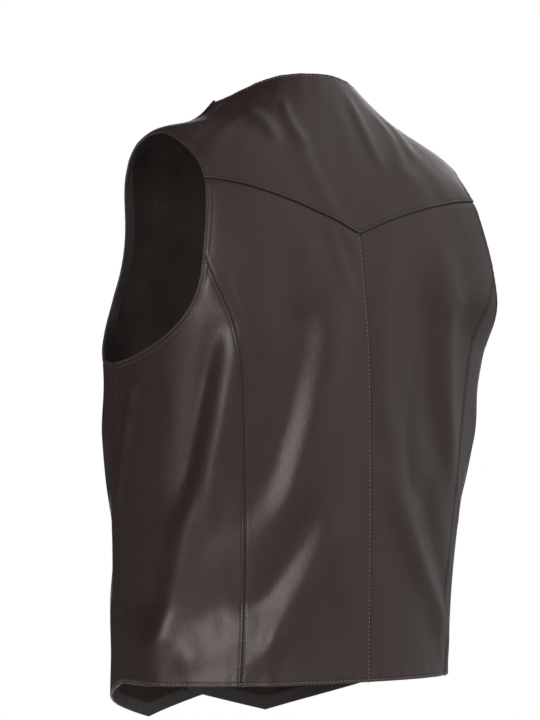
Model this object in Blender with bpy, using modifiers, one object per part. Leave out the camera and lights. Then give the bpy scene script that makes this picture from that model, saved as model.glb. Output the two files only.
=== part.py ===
"""A western leather vest in its worn, hollow form.

It has a pointed back yoke, back and side-back panels, two fronts and a row of snaps.
The cloth lies on one smooth form of rings. A place on it has an angle, from the centre back (0 degrees) round
the vest's left side (90) to the centre front (180), and a level, which is a fractional row of the ring table.
The front faces -Y with the left side at +X, and the origin lies between the two shoulder seams, at the neck.
"""

import math
from collections import namedtuple

import bmesh
import bpy
import numpy as np
from mathutils import Vector

# Driving dimensions, in metres
WALL = 0.002
SEAM_GAP = 0.0003
LAP_GAP = 0.0005
HEM_HEIGHT = -0.612
YOKE_POINT_HEIGHT = -0.181
NECK_BREAK_HEIGHT = -0.335
FRONT_POINT_DROP = 0.042
FRONT_EDGE_DROP = 0.018
FRONT_OVERLAP = 0.020
OVERLAP_RISE = WALL + LAP_GAP
OVERLAP_FLAT = 0.055
OVERLAP_RAMP = 0.060
SNAP_COUNT = 4
SNAP_TOP = -0.335
SNAP_BOTTOM = -0.585
SNAP_RADIUS = 0.0065
SNAP_TOP_RADIUS = 0.0048
SNAP_HEIGHT = 0.0030
SNAP_EDGE = 0.0006
SNAP_EDGE_SEGMENTS = 3
SNAP_SEGMENTS = 24

# Places on the form that are given as angles, in degrees from the centre back
SHOULDER_ANGLE = 90.0
FRONT_ANGLE = 180.0
FRONT_POINT_ANGLE = 156.0

# How far the worn pose lifts the neckline beside the nape on each side, in levels of the ring table
LEFT_NECK_LIFT = 0.12
RIGHT_NECK_LIFT = 0.0

# Girth, in metres, that one degree of angle stands for where folds are laid out
GIRTH_PER_DEGREE = 0.0030

# The yoke seam's rise from its point, as a power: above 1 it is steep at the point and flat at the armhole
YOKE_SEAM_POWER = 1.7

# A fold keeps its full height between its ends and fades over this share of its length at each of them
FOLD_FADE = 0.35
FOLD_END = 0.3

# How finely lines are worked out: halvings of a search and degrees it reaches past the centre front, rounds of
# the neckline's search, samples along a seam, and the steps in degrees and levels over which slopes are taken
HALVINGS = 40
SEARCH_PAST_FRONT = 20.0
NECKLINE_ROUNDS = 60
SEAM_SAMPLES = 161
ANGLE_STEP = 0.1
LEVEL_STEP = 0.01

# Edges sharper than this many degrees keep a hard line between wall and rim
SHARP_ANGLE = 50

# Finishes: colours as linear red, green and blue, and roughnesses
ESPRESSO = (0.045, 0.036, 0.033)
ESPRESSO_ROUGHNESS = 0.42
ANTIQUE_BRASS = (0.18, 0.13, 0.07)
BRASS_ROUGHNESS = 0.4

# The form's rings. Heights at the centre back, side and centre front, how far back the side line lies, the
# half width, the reaches behind and in front of the side line, how full the corners are as a share of the
# reach, and how far the worn pose turns the ring and tilts it down on the right, in degrees.
Ring = namedtuple("Ring", "name z_back z_side z_front y_side half_width back front fullness turn tilt")
RINGS = (
    Ring("point", -0.700, -0.700, -0.700, -0.028, 0.177, 0.149, 0.128, 0.03, 3.5, -0.8),
    Ring("hem", -0.612, -0.612, -0.612, -0.028, 0.177, 0.149, 0.128, 0.03, 3.5, -0.8),
    Ring("waist", -0.500, -0.500, -0.500, -0.022, 0.180, 0.148, 0.124, 0.03, 2.5, -0.3),
    Ring("midriff", -0.390, -0.390, -0.390, -0.014, 0.187, 0.145, 0.123, 0.06, 1.0, 0.0),
    Ring("underarm", -0.295, -0.295, -0.295, -0.004, 0.195, 0.139, 0.122, 0.09, -1.0, 0.0),
    Ring("blade", -0.232, -0.232, -0.232, 0.005, 0.200, 0.130, 0.116, 0.11, -3.0, 0.5),
    Ring("yoke", -0.178, -0.168, -0.185, 0.009, 0.192, 0.120, 0.104, 0.10, -4.0, 1.2),
    Ring("tip", -0.120, -0.093, -0.140, 0.005, 0.170, 0.106, 0.088, 0.06, -5.0, 2.5),
    Ring("slope", -0.060, -0.064, -0.112, -0.008, 0.116, 0.086, 0.072, 0.03, -5.0, 0.5),
    Ring("neck", -0.014, -0.035, -0.090, -0.026, 0.0745, 0.076, 0.052, 0.02, -5.0, -1.5),
)
RING_VALUES = np.array([ring[1:] for ring in RINGS])
NECK_LEVEL = len(RINGS) - 1

# The armhole's edge, from the shoulder tip down its back, round its low end and up its front to the tip again.
Notch = namedtuple("Notch", "name angle height")
ARMHOLE = (
    Notch("tip", 90.0, -0.088),
    Notch("back_top", 68.0, -0.092),
    Notch("shoulder", 54.5, -0.111),
    Notch("yoke", 48.0, -0.136),
    Notch("blade", 46.5, -0.168),
    Notch("seam", 46.5, -0.204),
    Notch("low_back", 50.0, -0.248),
    Notch("back_turn", 68.0, -0.288),
    Notch("underarm", 98.0, -0.303),
    Notch("front_turn", 118.0, -0.291),
    Notch("low_front", 131.0, -0.254),
    Notch("front", 135.0, -0.197),
    Notch("front_top", 120.0, -0.131),
    Notch("tip", 90.0, -0.088),
)
ARMHOLE_ROW = {notch.name: row for row, notch in reversed(list(enumerate(ARMHOLE)))}

YOKE_SIDE_HEIGHT = ARMHOLE[ARMHOLE_ROW["yoke"]].height
SIDE_BACK_SEAM_TOP = ARMHOLE[ARMHOLE_ROW["seam"]].height
SIDE_SEAM_ANGLE = ARMHOLE[ARMHOLE_ROW["underarm"]].angle
UNDERARM_HEIGHT = ARMHOLE[ARMHOLE_ROW["underarm"]].height

# The side-back seam, from the hem up to the armhole.
SIDE_BACK_SEAM = (
    Notch("hem", 43.5, HEM_HEIGHT),
    Notch("waist", 42.0, -0.500),
    Notch("midriff", 40.5, -0.400),
    Notch("chest", 39.2, -0.315),
    Notch("sweep", 40.5, -0.258),
    Notch("armhole", 46.5, SIDE_BACK_SEAM_TOP),
)

# Largest folds. Start and end as girth from the centre back (the vest's left is positive) and height,
# sideways bow at mid length, half width and rise; a negative rise is a trough.
Fold = namedtuple("Fold", "name girth_a height_a girth_b height_b bow half_width rise")
FOLDS = (
    Fold("right_blade", -0.165, -0.115, -0.138, -0.270, 0.000, 0.050, 0.011),
    Fold("left_back_ridge", 0.026, -0.220, 0.100, -0.485, -0.009, 0.017, 0.007),
    Fold("left_back_hollow", 0.056, -0.225, 0.122, -0.465, -0.009, 0.017, -0.007),
    Fold("left_hem_ridge", 0.036, -0.444, 0.118, -0.596, -0.007, 0.014, 0.006),
    Fold("left_hem_hollow", 0.058, -0.436, 0.128, -0.550, -0.006, 0.013, -0.005),
    Fold("left_hem_ridge_end", 0.101, -0.548, 0.098, -0.650, 0.000, 0.013, 0.0032),
    Fold("left_hem_corner", 0.224, -0.545, 0.226, -0.660, 0.000, 0.036, 0.008),
    Fold("left_hem_tuck", 0.116, -0.522, 0.198, -0.560, 0.000, 0.026, -0.005),
    Fold("left_hem_flare", 0.060, -0.640, 0.250, -0.640, 0.000, 0.046, 0.007),
    Fold("left_side_ridge", 0.108, -0.262, 0.166, -0.455, 0.000, 0.012, 0.006),
    Fold("left_side_valley", 0.140, -0.285, 0.198, -0.460, 0.000, 0.018, -0.0035),
    Fold("left_side_drape", 0.172, -0.420, 0.226, -0.605, 0.000, 0.018, 0.007),
    Fold("right_back_ridge", -0.082, -0.190, -0.108, -0.415, 0.012, 0.013, 0.006),
    Fold("right_back_valley", -0.056, -0.205, -0.078, -0.400, 0.008, 0.016, -0.003),
    Fold("right_hem_ridge", -0.020, -0.400, -0.140, -0.585, 0.015, 0.016, 0.005),
    Fold("right_hem_valley", -0.062, -0.420, -0.135, -0.545, 0.010, 0.016, -0.004),
    Fold("right_side_ridge", -0.150, -0.330, -0.235, -0.520, -0.008, 0.016, 0.005),
    Fold("left_front_ridge", 0.335, -0.330, 0.430, -0.500, -0.008, 0.018, 0.005),
    Fold("left_front_drape", 0.450, -0.360, 0.360, -0.570, 0.010, 0.022, 0.005),
    Fold("right_front_ridge", -0.345, -0.350, -0.425, -0.530, 0.008, 0.018, 0.005),
    Fold("right_front_drape", -0.440, -0.330, -0.370, -0.600, -0.008, 0.022, 0.004),
)

# Grid counts of the panels
Counts = namedtuple(
    "Counts", "back side_back neck shoulder front hem_row armhole_row yoke_row front_armhole_row"
)
GRID = Counts(14, 12, 6, 8, 14, 22, 6, 12, 12)


def natural_spline(values):
    """Second derivatives of the natural cubic spline through rows of values, one unit apart."""
    count = len(values)
    matrix = np.eye(count)
    right = np.zeros_like(values)
    for row in range(1, count - 1):
        matrix[row, row - 1:row + 2] = (1, 4, 1)
        right[row] = 6 * (values[row - 1] - 2 * values[row] + values[row + 1])
    return np.linalg.solve(matrix, right)


RING_BENDS = natural_spline(RING_VALUES)


def smooth_row(values, bends, row_number):
    """The columns of a table at a fractional row, on the smooth curve through its rows."""
    row = np.clip(np.floor(row_number).astype(int), 0, len(values) - 2)
    after = (row_number - row)[..., None]
    before = 1 - after
    mixed = before * values[row] + after * values[row + 1]
    return mixed + ((before ** 3 - before) * bends[row] + (after ** 3 - after) * bends[row + 1]) / 6


def ring_at(level):
    return np.moveaxis(smooth_row(RING_VALUES, RING_BENDS, level), -1, 0)


def form(angle, level):
    """Points of the bare form on the vest's left."""
    angle, level = np.broadcast_arrays(np.asarray(angle, float), np.asarray(level, float))
    z_back, z_side, z_front, y_side, half_width, back, front, fullness, _, _ = ring_at(level)
    turn = np.radians(angle)
    sine, cosine = np.sin(turn), np.cos(turn)
    corner = 1 + fullness * np.sin(2 * turn) ** 2
    behind = cosine > 0
    x = half_width * sine * corner
    y = y_side + np.where(behind, back, front) * cosine * corner
    z = z_side + (np.where(behind, z_back, z_front) - z_side) * cosine ** 2
    return np.stack([x, y, z], axis=-1)


def level_at(angle, height):
    """The level where the form reaches a height at an angle, by halving."""
    angle, height = np.broadcast_arrays(np.asarray(angle, float), np.asarray(height, float))
    low, high = np.zeros(angle.shape), np.full(angle.shape, float(NECK_LEVEL))
    for _ in range(HALVINGS):
        middle = (low + high) / 2
        above = form(angle, middle)[..., 2] > height
        low, high = np.where(above, low, middle), np.where(above, middle, high)
    return (low + high) / 2


TIP_LEVEL = float(level_at(SHOULDER_ANGLE, ARMHOLE[0].height))


def front_angle_at(level, breadth):
    """The angle in front of the shoulder where a ring has a half breadth, by halving."""
    low = np.full(level.shape, SHOULDER_ANGLE)
    high = np.full(level.shape, FRONT_ANGLE + SEARCH_PAST_FRONT)
    for _ in range(HALVINGS):
        middle = (low + high) / 2
        wider = form(middle, level)[..., 0] > breadth
        low, high = np.where(wider, middle, low), np.where(wider, high, middle)
    return (low + high) / 2


def at_height(angle, height):
    """(angle, level) pairs of places given by angle and height."""
    angle, height = np.broadcast_arrays(np.asarray(angle, float), np.asarray(height, float))
    return np.stack([angle, level_at(angle, height)], axis=-1)


# Seam lines: each is a function of 0 to 1 that gives (angle, level) pairs
def centre_back(t):
    return at_height(0 * t, HEM_HEIGHT + (YOKE_POINT_HEIGHT - HEM_HEIGHT) * t)


def yoke_centre(t):
    point_level = level_at(0.0, YOKE_POINT_HEIGHT)
    return np.stack([0 * t, point_level + (NECK_LEVEL - point_level) * t], axis=-1)


# The edge runs smoothly through the tip, so the rows on both sides of it are repeated past the table's ends
WRAP = 2
ARMHOLE_VALUES = np.array([notch[1:] for notch in ARMHOLE[-1 - WRAP:-1] + ARMHOLE + ARMHOLE[1:1 + WRAP]])
ARMHOLE_BENDS = natural_spline(ARMHOLE_VALUES)


def armhole(start, end):
    """The armhole's edge between two of its named notches."""
    first = ARMHOLE_ROW[start]
    last = len(ARMHOLE) - 1 if end == "front_tip" else ARMHOLE_ROW[end]

    def line(t):
        places = smooth_row(ARMHOLE_VALUES, ARMHOLE_BENDS, WRAP + first + (last - first) * t)
        return at_height(places[..., 0], places[..., 1])

    return line


def yoke_seam(t):
    """From the yoke's point at the centre back out to the armhole, steep at first and flat at the side."""
    side_angle = ARMHOLE[ARMHOLE_ROW["yoke"]].angle
    rise = 1 - (1 - t) ** YOKE_SEAM_POWER
    return at_height(side_angle * t, YOKE_POINT_HEIGHT + (YOKE_SIDE_HEIGHT - YOKE_POINT_HEIGHT) * rise)


SEAM_VALUES = np.array([notch[1:] for notch in SIDE_BACK_SEAM])
SEAM_BENDS = natural_spline(SEAM_VALUES)


def side_back_seam(t):
    places = smooth_row(SEAM_VALUES, SEAM_BENDS, (len(SIDE_BACK_SEAM) - 1) * t)
    return at_height(places[..., 0], places[..., 1])


def side_seam(t):
    return at_height(SIDE_SEAM_ANGLE + 0 * t, HEM_HEIGHT + (UNDERARM_HEIGHT - HEM_HEIGHT) * t)


def shoulder_seam(t):
    """From the neck out to the shoulder tip."""
    return np.stack([SHOULDER_ANGLE + 0 * t, NECK_LEVEL + (TIP_LEVEL - NECK_LEVEL) * t], axis=-1)


def back_neck(lift):
    """The back of the neck; a lift raises it, in levels, half way between the nape and the shoulder seam."""
    def line(t):
        return np.stack([SHOULDER_ANGLE * t, NECK_LEVEL + lift * np.sin(math.pi * t) ** 2], axis=-1)

    return line


def hem(start_angle, end_angle):
    return lambda t: at_height(start_angle + (end_angle - start_angle) * t, HEM_HEIGHT)


def front_edge_angle(height):
    """Angle of the lapped front edge, past the centre front."""
    reach = form(FRONT_ANGLE, level_at(FRONT_ANGLE, height))[..., 1]
    return FRONT_ANGLE + np.degrees(np.arctan2(FRONT_OVERLAP, np.abs(reach)))


def front_hem_inner(t):
    """From the lapped edge out to the front's point."""
    edge_height = HEM_HEIGHT - FRONT_EDGE_DROP
    edge_angle = front_edge_angle(edge_height)
    point_height = HEM_HEIGHT - FRONT_POINT_DROP
    return at_height(
        edge_angle + (FRONT_POINT_ANGLE - edge_angle) * t, edge_height + (point_height - edge_height) * t
    )


def front_hem_outer(t):
    """From the front's point out to the side seam."""
    point_height = HEM_HEIGHT - FRONT_POINT_DROP
    return at_height(
        FRONT_POINT_ANGLE + (SIDE_SEAM_ANGLE - FRONT_POINT_ANGLE) * t, point_height + FRONT_POINT_DROP * t
    )


def front_edge(t):
    """The lapped edge from the hem up to where the neckline breaks."""
    low = HEM_HEIGHT - FRONT_EDGE_DROP
    height = low + (NECK_BREAK_HEIGHT - low) * t
    return at_height(front_edge_angle(height), height)


def front_neck(t):
    """The V neckline from the lapped edge up to the shoulder seam, straight when seen from the front."""
    neck = form(SHOULDER_ANGLE, NECK_LEVEL)
    edge_angle = front_edge_angle(NECK_BREAK_HEIGHT)
    edge = form(edge_angle, level_at(edge_angle, NECK_BREAK_HEIGHT))
    breadth = edge[0] + (neck[0] - edge[0]) * t
    height = edge[2] + (neck[2] - edge[2]) * t
    angle = edge_angle + (SHOULDER_ANGLE - edge_angle) * t
    for _ in range(NECKLINE_ROUNDS):
        angle = (angle + front_angle_at(level_at(angle, height), breadth)) / 2
    return at_height(angle, height)


def fold_rise(girth, height):
    """How far the folds lift the cloth off the form."""
    total = np.zeros(np.broadcast(girth, height).shape)
    for fold in FOLDS:
        across = np.array([fold.girth_b - fold.girth_a, fold.height_b - fold.height_a])
        length = np.hypot(*across)
        run = across / length
        along = ((girth - fold.girth_a) * run[0] + (height - fold.height_a) * run[1]) / length
        off = (height - fold.height_a) * run[0] - (girth - fold.girth_a) * run[1]
        off = off - fold.bow * np.clip(4 * along * (1 - along), 0, None)
        ends = np.clip(np.minimum(along, 1 - along) / FOLD_FADE + FOLD_END, 0, 1)
        taper = ends ** 2 * (3 - 2 * ends)
        total += fold.rise * taper * np.exp(-(off / fold.half_width) ** 2)
    return total


def lap_rise(angle, level):
    """How far the left front stands off the right one along the lapped front edge."""
    off_edge = np.abs(form(angle, level)[..., 0])
    share = np.clip((OVERLAP_FLAT + OVERLAP_RAMP - off_edge) / OVERLAP_RAMP, 0, 1)
    return OVERLAP_RISE * share ** 2 * (3 - 2 * share)


def slope(surface, angle, level):
    """Unit vectors square to a surface, from its steps around and up."""
    around = surface(angle + ANGLE_STEP, level) - surface(angle - ANGLE_STEP, level)
    up = surface(angle, level + LEVEL_STEP) - surface(angle, level - LEVEL_STEP)
    out = np.cross(up, around)
    return out / np.linalg.norm(out, axis=-1, keepdims=True)


def cloth(angle, level, side, lapped=False):
    """Outer points of the cloth and its outward directions, on the left (side 1) or right (side -1)."""
    def points(an, le):
        place = form(an, le)
        rise = fold_rise(side * an * GIRTH_PER_DEGREE, place[..., 2])
        if lapped:
            rise = rise + lap_rise(an, le)
        x, y, z = np.moveaxis((place + rise[..., None] * slope(form, an, le)) * (side, 1, 1), -1, 0)
        turn, tilt = np.radians(ring_at(le)[-2:])
        sine, cosine = np.sin(turn), np.cos(turn)
        z = z + x * np.tan(tilt)
        return np.stack([x * cosine - y * sine, x * sine + y * cosine, z], axis=-1)

    return points(angle, level), side * slope(points, angle, level)


def spread(line, count):
    """count + 1 places along a seam line, evenly spaced in space."""
    share = np.linspace(0, 1, SEAM_SAMPLES)
    places = line(share)
    steps = np.linalg.norm(np.diff(form(places[:, 0], places[:, 1]), axis=0), axis=1)
    run = np.concatenate([[0], np.cumsum(steps)])
    return line(np.interp(np.linspace(0, run[-1], count + 1), run, share))


def joined(first, second):
    return np.concatenate([first, second[1:]])


def patch(bottom, top, inner, outer):
    """Grid of places between four sides. Bottom and top run from inner to outer, inner and outer run up."""
    s = np.linspace(0, 1, len(bottom))[:, None, None]
    t = np.linspace(0, 1, len(inner))[None, :, None]
    up = (1 - t) * bottom[:, None] + t * top[:, None]
    across = (1 - s) * inner[None] + s * outer[None]
    corners = (1 - t) * ((1 - s) * bottom[0] + s * bottom[-1]) + t * ((1 - s) * top[0] + s * top[-1])
    return up + across - corners


def inset(points, distance):
    """The grid with its four sides drawn in by a distance, for the gap at the seams."""
    moved = points.copy()
    for side, inside in ((np.s_[0], np.s_[1]), (np.s_[-1], np.s_[-2])):
        for axis in (0, 1):
            line = np.moveaxis(moved, axis, 0)
            step = np.moveaxis(points, axis, 0)[inside] - np.moveaxis(points, axis, 0)[side]
            line[side] += distance * step / np.linalg.norm(step, axis=-1, keepdims=True)
    return moved


def finish(name, colour, roughness, metallic=0.0):
    material = bpy.data.materials.new(name)
    material.use_nodes = True
    shader = material.node_tree.nodes["Principled BSDF"]
    shader.inputs["Base Color"].default_value = (*colour, 1)
    shader.inputs["Roughness"].default_value = roughness
    shader.inputs["Metallic"].default_value = metallic
    return material


def panel(name, outer, out, collection, parent):
    """A shell between the outer points of a grid and the same points one wall thickness inside."""
    layers = (inset(outer, SEAM_GAP / 2), inset(outer - WALL * out, SEAM_GAP / 2))
    columns, rows = outer.shape[:2]
    mesh = bmesh.new()
    skin, lining = ([[mesh.verts.new(point) for point in column] for column in layer] for layer in layers)
    for i in range(columns - 1):
        for j in range(rows - 1):
            mesh.faces.new((skin[i][j], skin[i][j + 1], skin[i + 1][j + 1], skin[i + 1][j]))
            mesh.faces.new((lining[i][j], lining[i + 1][j], lining[i + 1][j + 1], lining[i][j + 1]))
    rim = [(i, 0) for i in range(columns)] + [(columns - 1, j) for j in range(1, rows)]
    rim += [(i, rows - 1) for i in range(columns - 2, -1, -1)] + [(0, j) for j in range(rows - 2, 0, -1)]
    for (i, j), (k, m) in zip(rim, rim[1:] + rim[:1]):
        mesh.faces.new((skin[i][j], skin[k][m], lining[k][m], lining[i][j]))
    bmesh.ops.recalc_face_normals(mesh, faces=mesh.faces)
    data = bpy.data.meshes.new(name)
    mesh.to_mesh(data)
    mesh.free()
    data.shade_smooth()
    data.set_sharp_from_angle(angle=math.radians(SHARP_ANGLE))
    data.materials.append(finish(f"{name}_leather", ESPRESSO, ESPRESSO_ROUGHNESS))
    made = bpy.data.objects.new(name, data)
    made.parent = parent
    collection.objects.link(made)


def back_places():
    return patch(
        bottom=spread(hem(0.0, SIDE_BACK_SEAM[0].angle), GRID.back),
        top=spread(yoke_seam, GRID.back),
        inner=spread(centre_back, GRID.hem_row + GRID.armhole_row),
        outer=joined(spread(side_back_seam, GRID.hem_row), spread(armhole("seam", "yoke"), GRID.armhole_row)),
    )


def side_back_places():
    return patch(
        bottom=spread(hem(SIDE_BACK_SEAM[0].angle, SIDE_SEAM_ANGLE), GRID.side_back),
        top=spread(armhole("seam", "underarm"), GRID.side_back),
        inner=spread(side_back_seam, GRID.hem_row),
        outer=spread(side_seam, GRID.hem_row),
    )


def half_yoke_places(neck_lift):
    return patch(
        bottom=spread(yoke_seam, GRID.neck + GRID.shoulder),
        top=joined(spread(back_neck(neck_lift), GRID.neck), spread(shoulder_seam, GRID.shoulder)),
        inner=spread(yoke_centre, GRID.yoke_row),
        outer=spread(armhole("yoke", "tip"), GRID.yoke_row),
    )


def front_places():
    half = GRID.front // 2
    rows = GRID.hem_row + GRID.front_armhole_row
    front_armhole = spread(armhole("underarm", "front_tip"), GRID.front_armhole_row)
    return patch(
        bottom=joined(spread(front_hem_inner, half), spread(front_hem_outer, GRID.front - half)),
        top=spread(shoulder_seam, GRID.front),
        inner=joined(spread(front_edge, rows // 2), spread(front_neck, rows - rows // 2)),
        outer=joined(spread(side_seam, GRID.hem_row), front_armhole),
    )


def snap_cap(name, place, out, collection, parent):
    """A low turned cap whose flat base lies on the lapped front."""
    data = bpy.data.meshes.new(name)
    mesh = bmesh.new()
    bmesh.ops.create_cone(
        mesh,
        cap_ends=True,
        segments=SNAP_SEGMENTS,
        radius1=SNAP_RADIUS,
        radius2=SNAP_TOP_RADIUS,
        depth=SNAP_HEIGHT,
    )
    bmesh.ops.translate(mesh, verts=mesh.verts, vec=(0, 0, SNAP_HEIGHT / 2))
    mesh.to_mesh(data)
    mesh.free()
    data.materials.append(finish(f"{name}_brass", ANTIQUE_BRASS, BRASS_ROUGHNESS, metallic=1.0))
    made = bpy.data.objects.new(name, data)
    made.location = place + SEAM_GAP * out
    made.rotation_mode = "QUATERNION"
    made.rotation_quaternion = Vector(out).to_track_quat("Z", "Y")
    edge = made.modifiers.new("rounded_edge", "BEVEL")
    edge.width = SNAP_EDGE
    edge.segments = SNAP_EDGE_SEGMENTS
    made.parent = parent
    collection.objects.link(made)


def main():
    for old in list(bpy.data.objects):
        bpy.data.objects.remove(old)
    collection = bpy.data.collections.new("leather_vest")
    bpy.context.scene.collection.children.link(collection)
    root = bpy.data.objects.new("vest", None)
    collection.objects.link(root)
    for side, hand in ((1, "left"), (-1, "right")):
        for name, places in (("back", back_places()), ("side_back", side_back_places())):
            panel(f"{name}_{hand}", *cloth(places[..., 0], places[..., 1], side), collection, root)
        places = front_places()
        lapped = hand == "left"
        panel(f"front_{hand}", *cloth(places[..., 0], places[..., 1], side, lapped), collection, root)
    halves = []
    for side, neck_lift in ((-1, RIGHT_NECK_LIFT), (1, LEFT_NECK_LIFT)):
        places = half_yoke_places(neck_lift)
        halves.append(cloth(places[..., 0], places[..., 1], side))
    yoke = [np.concatenate([right[:0:-1], left]) for right, left in zip(*halves)]
    panel("yoke", *yoke, collection, root)
    heights = np.linspace(SNAP_TOP, SNAP_BOTTOM, SNAP_COUNT)
    row = at_height(FRONT_ANGLE + 0 * heights, heights)
    for number, (place, out) in enumerate(zip(*cloth(row[:, 0], row[:, 1], 1, lapped=True)), start=1):
        snap_cap(f"snap_{number}", place, out, collection, root)


main()
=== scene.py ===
# %% [markdown]
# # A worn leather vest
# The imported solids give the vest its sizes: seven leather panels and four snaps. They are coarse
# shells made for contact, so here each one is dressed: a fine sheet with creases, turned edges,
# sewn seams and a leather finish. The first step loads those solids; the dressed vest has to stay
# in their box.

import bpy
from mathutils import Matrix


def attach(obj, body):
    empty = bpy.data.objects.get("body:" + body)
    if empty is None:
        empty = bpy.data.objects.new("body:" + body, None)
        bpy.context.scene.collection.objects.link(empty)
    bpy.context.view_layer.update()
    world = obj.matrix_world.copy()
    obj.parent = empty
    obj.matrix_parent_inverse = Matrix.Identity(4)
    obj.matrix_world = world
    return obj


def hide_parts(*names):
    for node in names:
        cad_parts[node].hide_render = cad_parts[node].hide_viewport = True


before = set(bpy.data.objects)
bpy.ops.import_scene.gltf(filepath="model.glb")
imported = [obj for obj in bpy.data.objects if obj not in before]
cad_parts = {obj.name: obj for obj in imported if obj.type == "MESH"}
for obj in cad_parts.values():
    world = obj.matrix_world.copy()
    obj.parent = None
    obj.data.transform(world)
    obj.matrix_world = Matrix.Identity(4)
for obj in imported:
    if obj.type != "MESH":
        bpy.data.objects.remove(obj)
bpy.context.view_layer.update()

import math
from collections import namedtuple

import bmesh
import bpy
import numpy as np
from mathutils import Matrix, Vector
from mathutils.bvhtree import BVHTree
from mathutils.kdtree import KDTree

MM = 0.001
print("solids:", ", ".join(sorted(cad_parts)))

# %% [markdown]
# ## The form under the leather
# A worn garment lies on one smooth closed form, so its panels share one surface and only their
# outlines differ. The form could be sculpted, but then no seam would have an exact place. A short
# table of rings, read with a smooth curve from row to row, gives every place an angle round it (0
# at the centre back, 90 at the left side, 180 at the centre front) and a level, which is a row of
# the table. It repeats the sizes of the solids.

# %% Rings of the form
WALL = 2.0 * MM
HEM_HEIGHT = -0.612
YOKE_POINT_HEIGHT = -0.181
NECK_BREAK_HEIGHT = -0.335
FRONT_POINT_DROP = 0.042
FRONT_EDGE_DROP = 0.018
FRONT_OVERLAP = 0.020
LEFT_NECK_LIFT, RIGHT_NECK_LIFT = 0.12, 0.0
SHOULDER_ANGLE = 90.0
FRONT_ANGLE = 180.0
FRONT_POINT_ANGLE = 156.0
YOKE_SEAM_POWER = 1.7

# Heights at the centre back, side and centre front, how far back the side line lies, the half
# width, the reaches behind and in front of the side line, the fullness of the corners, and the turn
# and tilt of the ring in degrees
Ring = namedtuple("Ring", "name z_back z_side z_front y_side half_width back front fullness turn tilt")
RINGS = (
    Ring("point", -0.700, -0.700, -0.700, -0.028, 0.177, 0.149, 0.128, 0.03, 3.5, -0.8),
    Ring("hem", -0.612, -0.612, -0.612, -0.028, 0.177, 0.149, 0.128, 0.03, 3.5, -0.8),
    Ring("waist", -0.500, -0.500, -0.500, -0.022, 0.180, 0.148, 0.124, 0.03, 2.5, -0.3),
    Ring("midriff", -0.390, -0.390, -0.390, -0.014, 0.187, 0.145, 0.123, 0.06, 1.0, 0.0),
    Ring("underarm", -0.295, -0.295, -0.295, -0.004, 0.195, 0.139, 0.122, 0.09, -1.0, 0.0),
    Ring("blade", -0.232, -0.232, -0.232, 0.005, 0.200, 0.130, 0.116, 0.11, -3.0, 0.5),
    Ring("yoke", -0.178, -0.168, -0.185, 0.009, 0.192, 0.120, 0.104, 0.10, -4.0, 1.2),
    Ring("tip", -0.120, -0.093, -0.140, 0.005, 0.170, 0.106, 0.088, 0.06, -5.0, 2.5),
    Ring("slope", -0.060, -0.064, -0.112, -0.008, 0.116, 0.086, 0.072, 0.03, -5.0, 0.5),
    Ring("neck", -0.014, -0.035, -0.090, -0.026, 0.0745, 0.076, 0.052, 0.02, -5.0, -1.5),
)
RING_VALUES = np.array([ring[1:] for ring in RINGS])
NECK_LEVEL = len(RINGS) - 1


def natural_spline(values):
    """Second derivatives of the natural cubic spline through rows of values, one unit apart."""
    count = len(values)
    matrix = np.eye(count)
    right = np.zeros_like(values)
    for row in range(1, count - 1):
        matrix[row, row - 1:row + 2] = (1, 4, 1)
        right[row] = 6 * (values[row - 1] - 2 * values[row] + values[row + 1])
    return np.linalg.solve(matrix, right)


def smooth_row(values, bends, row_number):
    """The columns of a table at a fractional row, on the smooth curve through its rows."""
    row = np.clip(np.floor(row_number).astype(int), 0, len(values) - 2)
    after = (row_number - row)[..., None]
    before = 1 - after
    mixed = before * values[row] + after * values[row + 1]
    return mixed + ((before ** 3 - before) * bends[row] + (after ** 3 - after) * bends[row + 1]) / 6


RING_BENDS = natural_spline(RING_VALUES)


def ring_at(level):
    return np.moveaxis(smooth_row(RING_VALUES, RING_BENDS, level), -1, 0)


def form(angle, level):
    """Points of the bare form on the vest's left."""
    angle, level = np.broadcast_arrays(np.asarray(angle, float), np.asarray(level, float))
    z_back, z_side, z_front, y_side, half_width, back, front, fullness, _, _ = ring_at(level)
    turn = np.radians(angle)
    sine, cosine = np.sin(turn), np.cos(turn)
    corner = 1 + fullness * np.sin(2 * turn) ** 2
    behind = cosine > 0
    x = half_width * sine * corner
    y = y_side + np.where(behind, back, front) * cosine * corner
    z = z_side + (np.where(behind, z_back, z_front) - z_side) * cosine ** 2
    return np.stack([x, y, z], axis=-1)


print(f"form: {len(RINGS)} rings, {RINGS[-1].z_back - HEM_HEIGHT:.3f} m from the back neck to the hem")

# %% [markdown]
# ## Seam lines
# A pattern cutter places seams by height: so far down the centre back, so far round the armhole.
# Each seam here is a function from 0 to 1 that gives places on the form. Where only the height is
# known, the level is found by halving an interval, which needs no formula for the inverse. Notch
# tables hold the curved lines, a row a notch.

# %% Places by height
HALVINGS = 40
SEARCH_PAST_FRONT = 20.0
NECKLINE_ROUNDS = 60


def level_at(angle, height):
    """The level where the form reaches a height at an angle, by halving."""
    angle, height = np.broadcast_arrays(np.asarray(angle, float), np.asarray(height, float))
    low, high = np.zeros(angle.shape), np.full(angle.shape, float(NECK_LEVEL))
    for _ in range(HALVINGS):
        middle = (low + high) / 2
        above = form(angle, middle)[..., 2] > height
        low, high = np.where(above, low, middle), np.where(above, middle, high)
    return (low + high) / 2


def at_height(angle, height):
    """(angle, level) pairs of places given by angle and height."""
    angle, height = np.broadcast_arrays(np.asarray(angle, float), np.asarray(height, float))
    return np.stack([angle, level_at(angle, height)], axis=-1)


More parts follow.
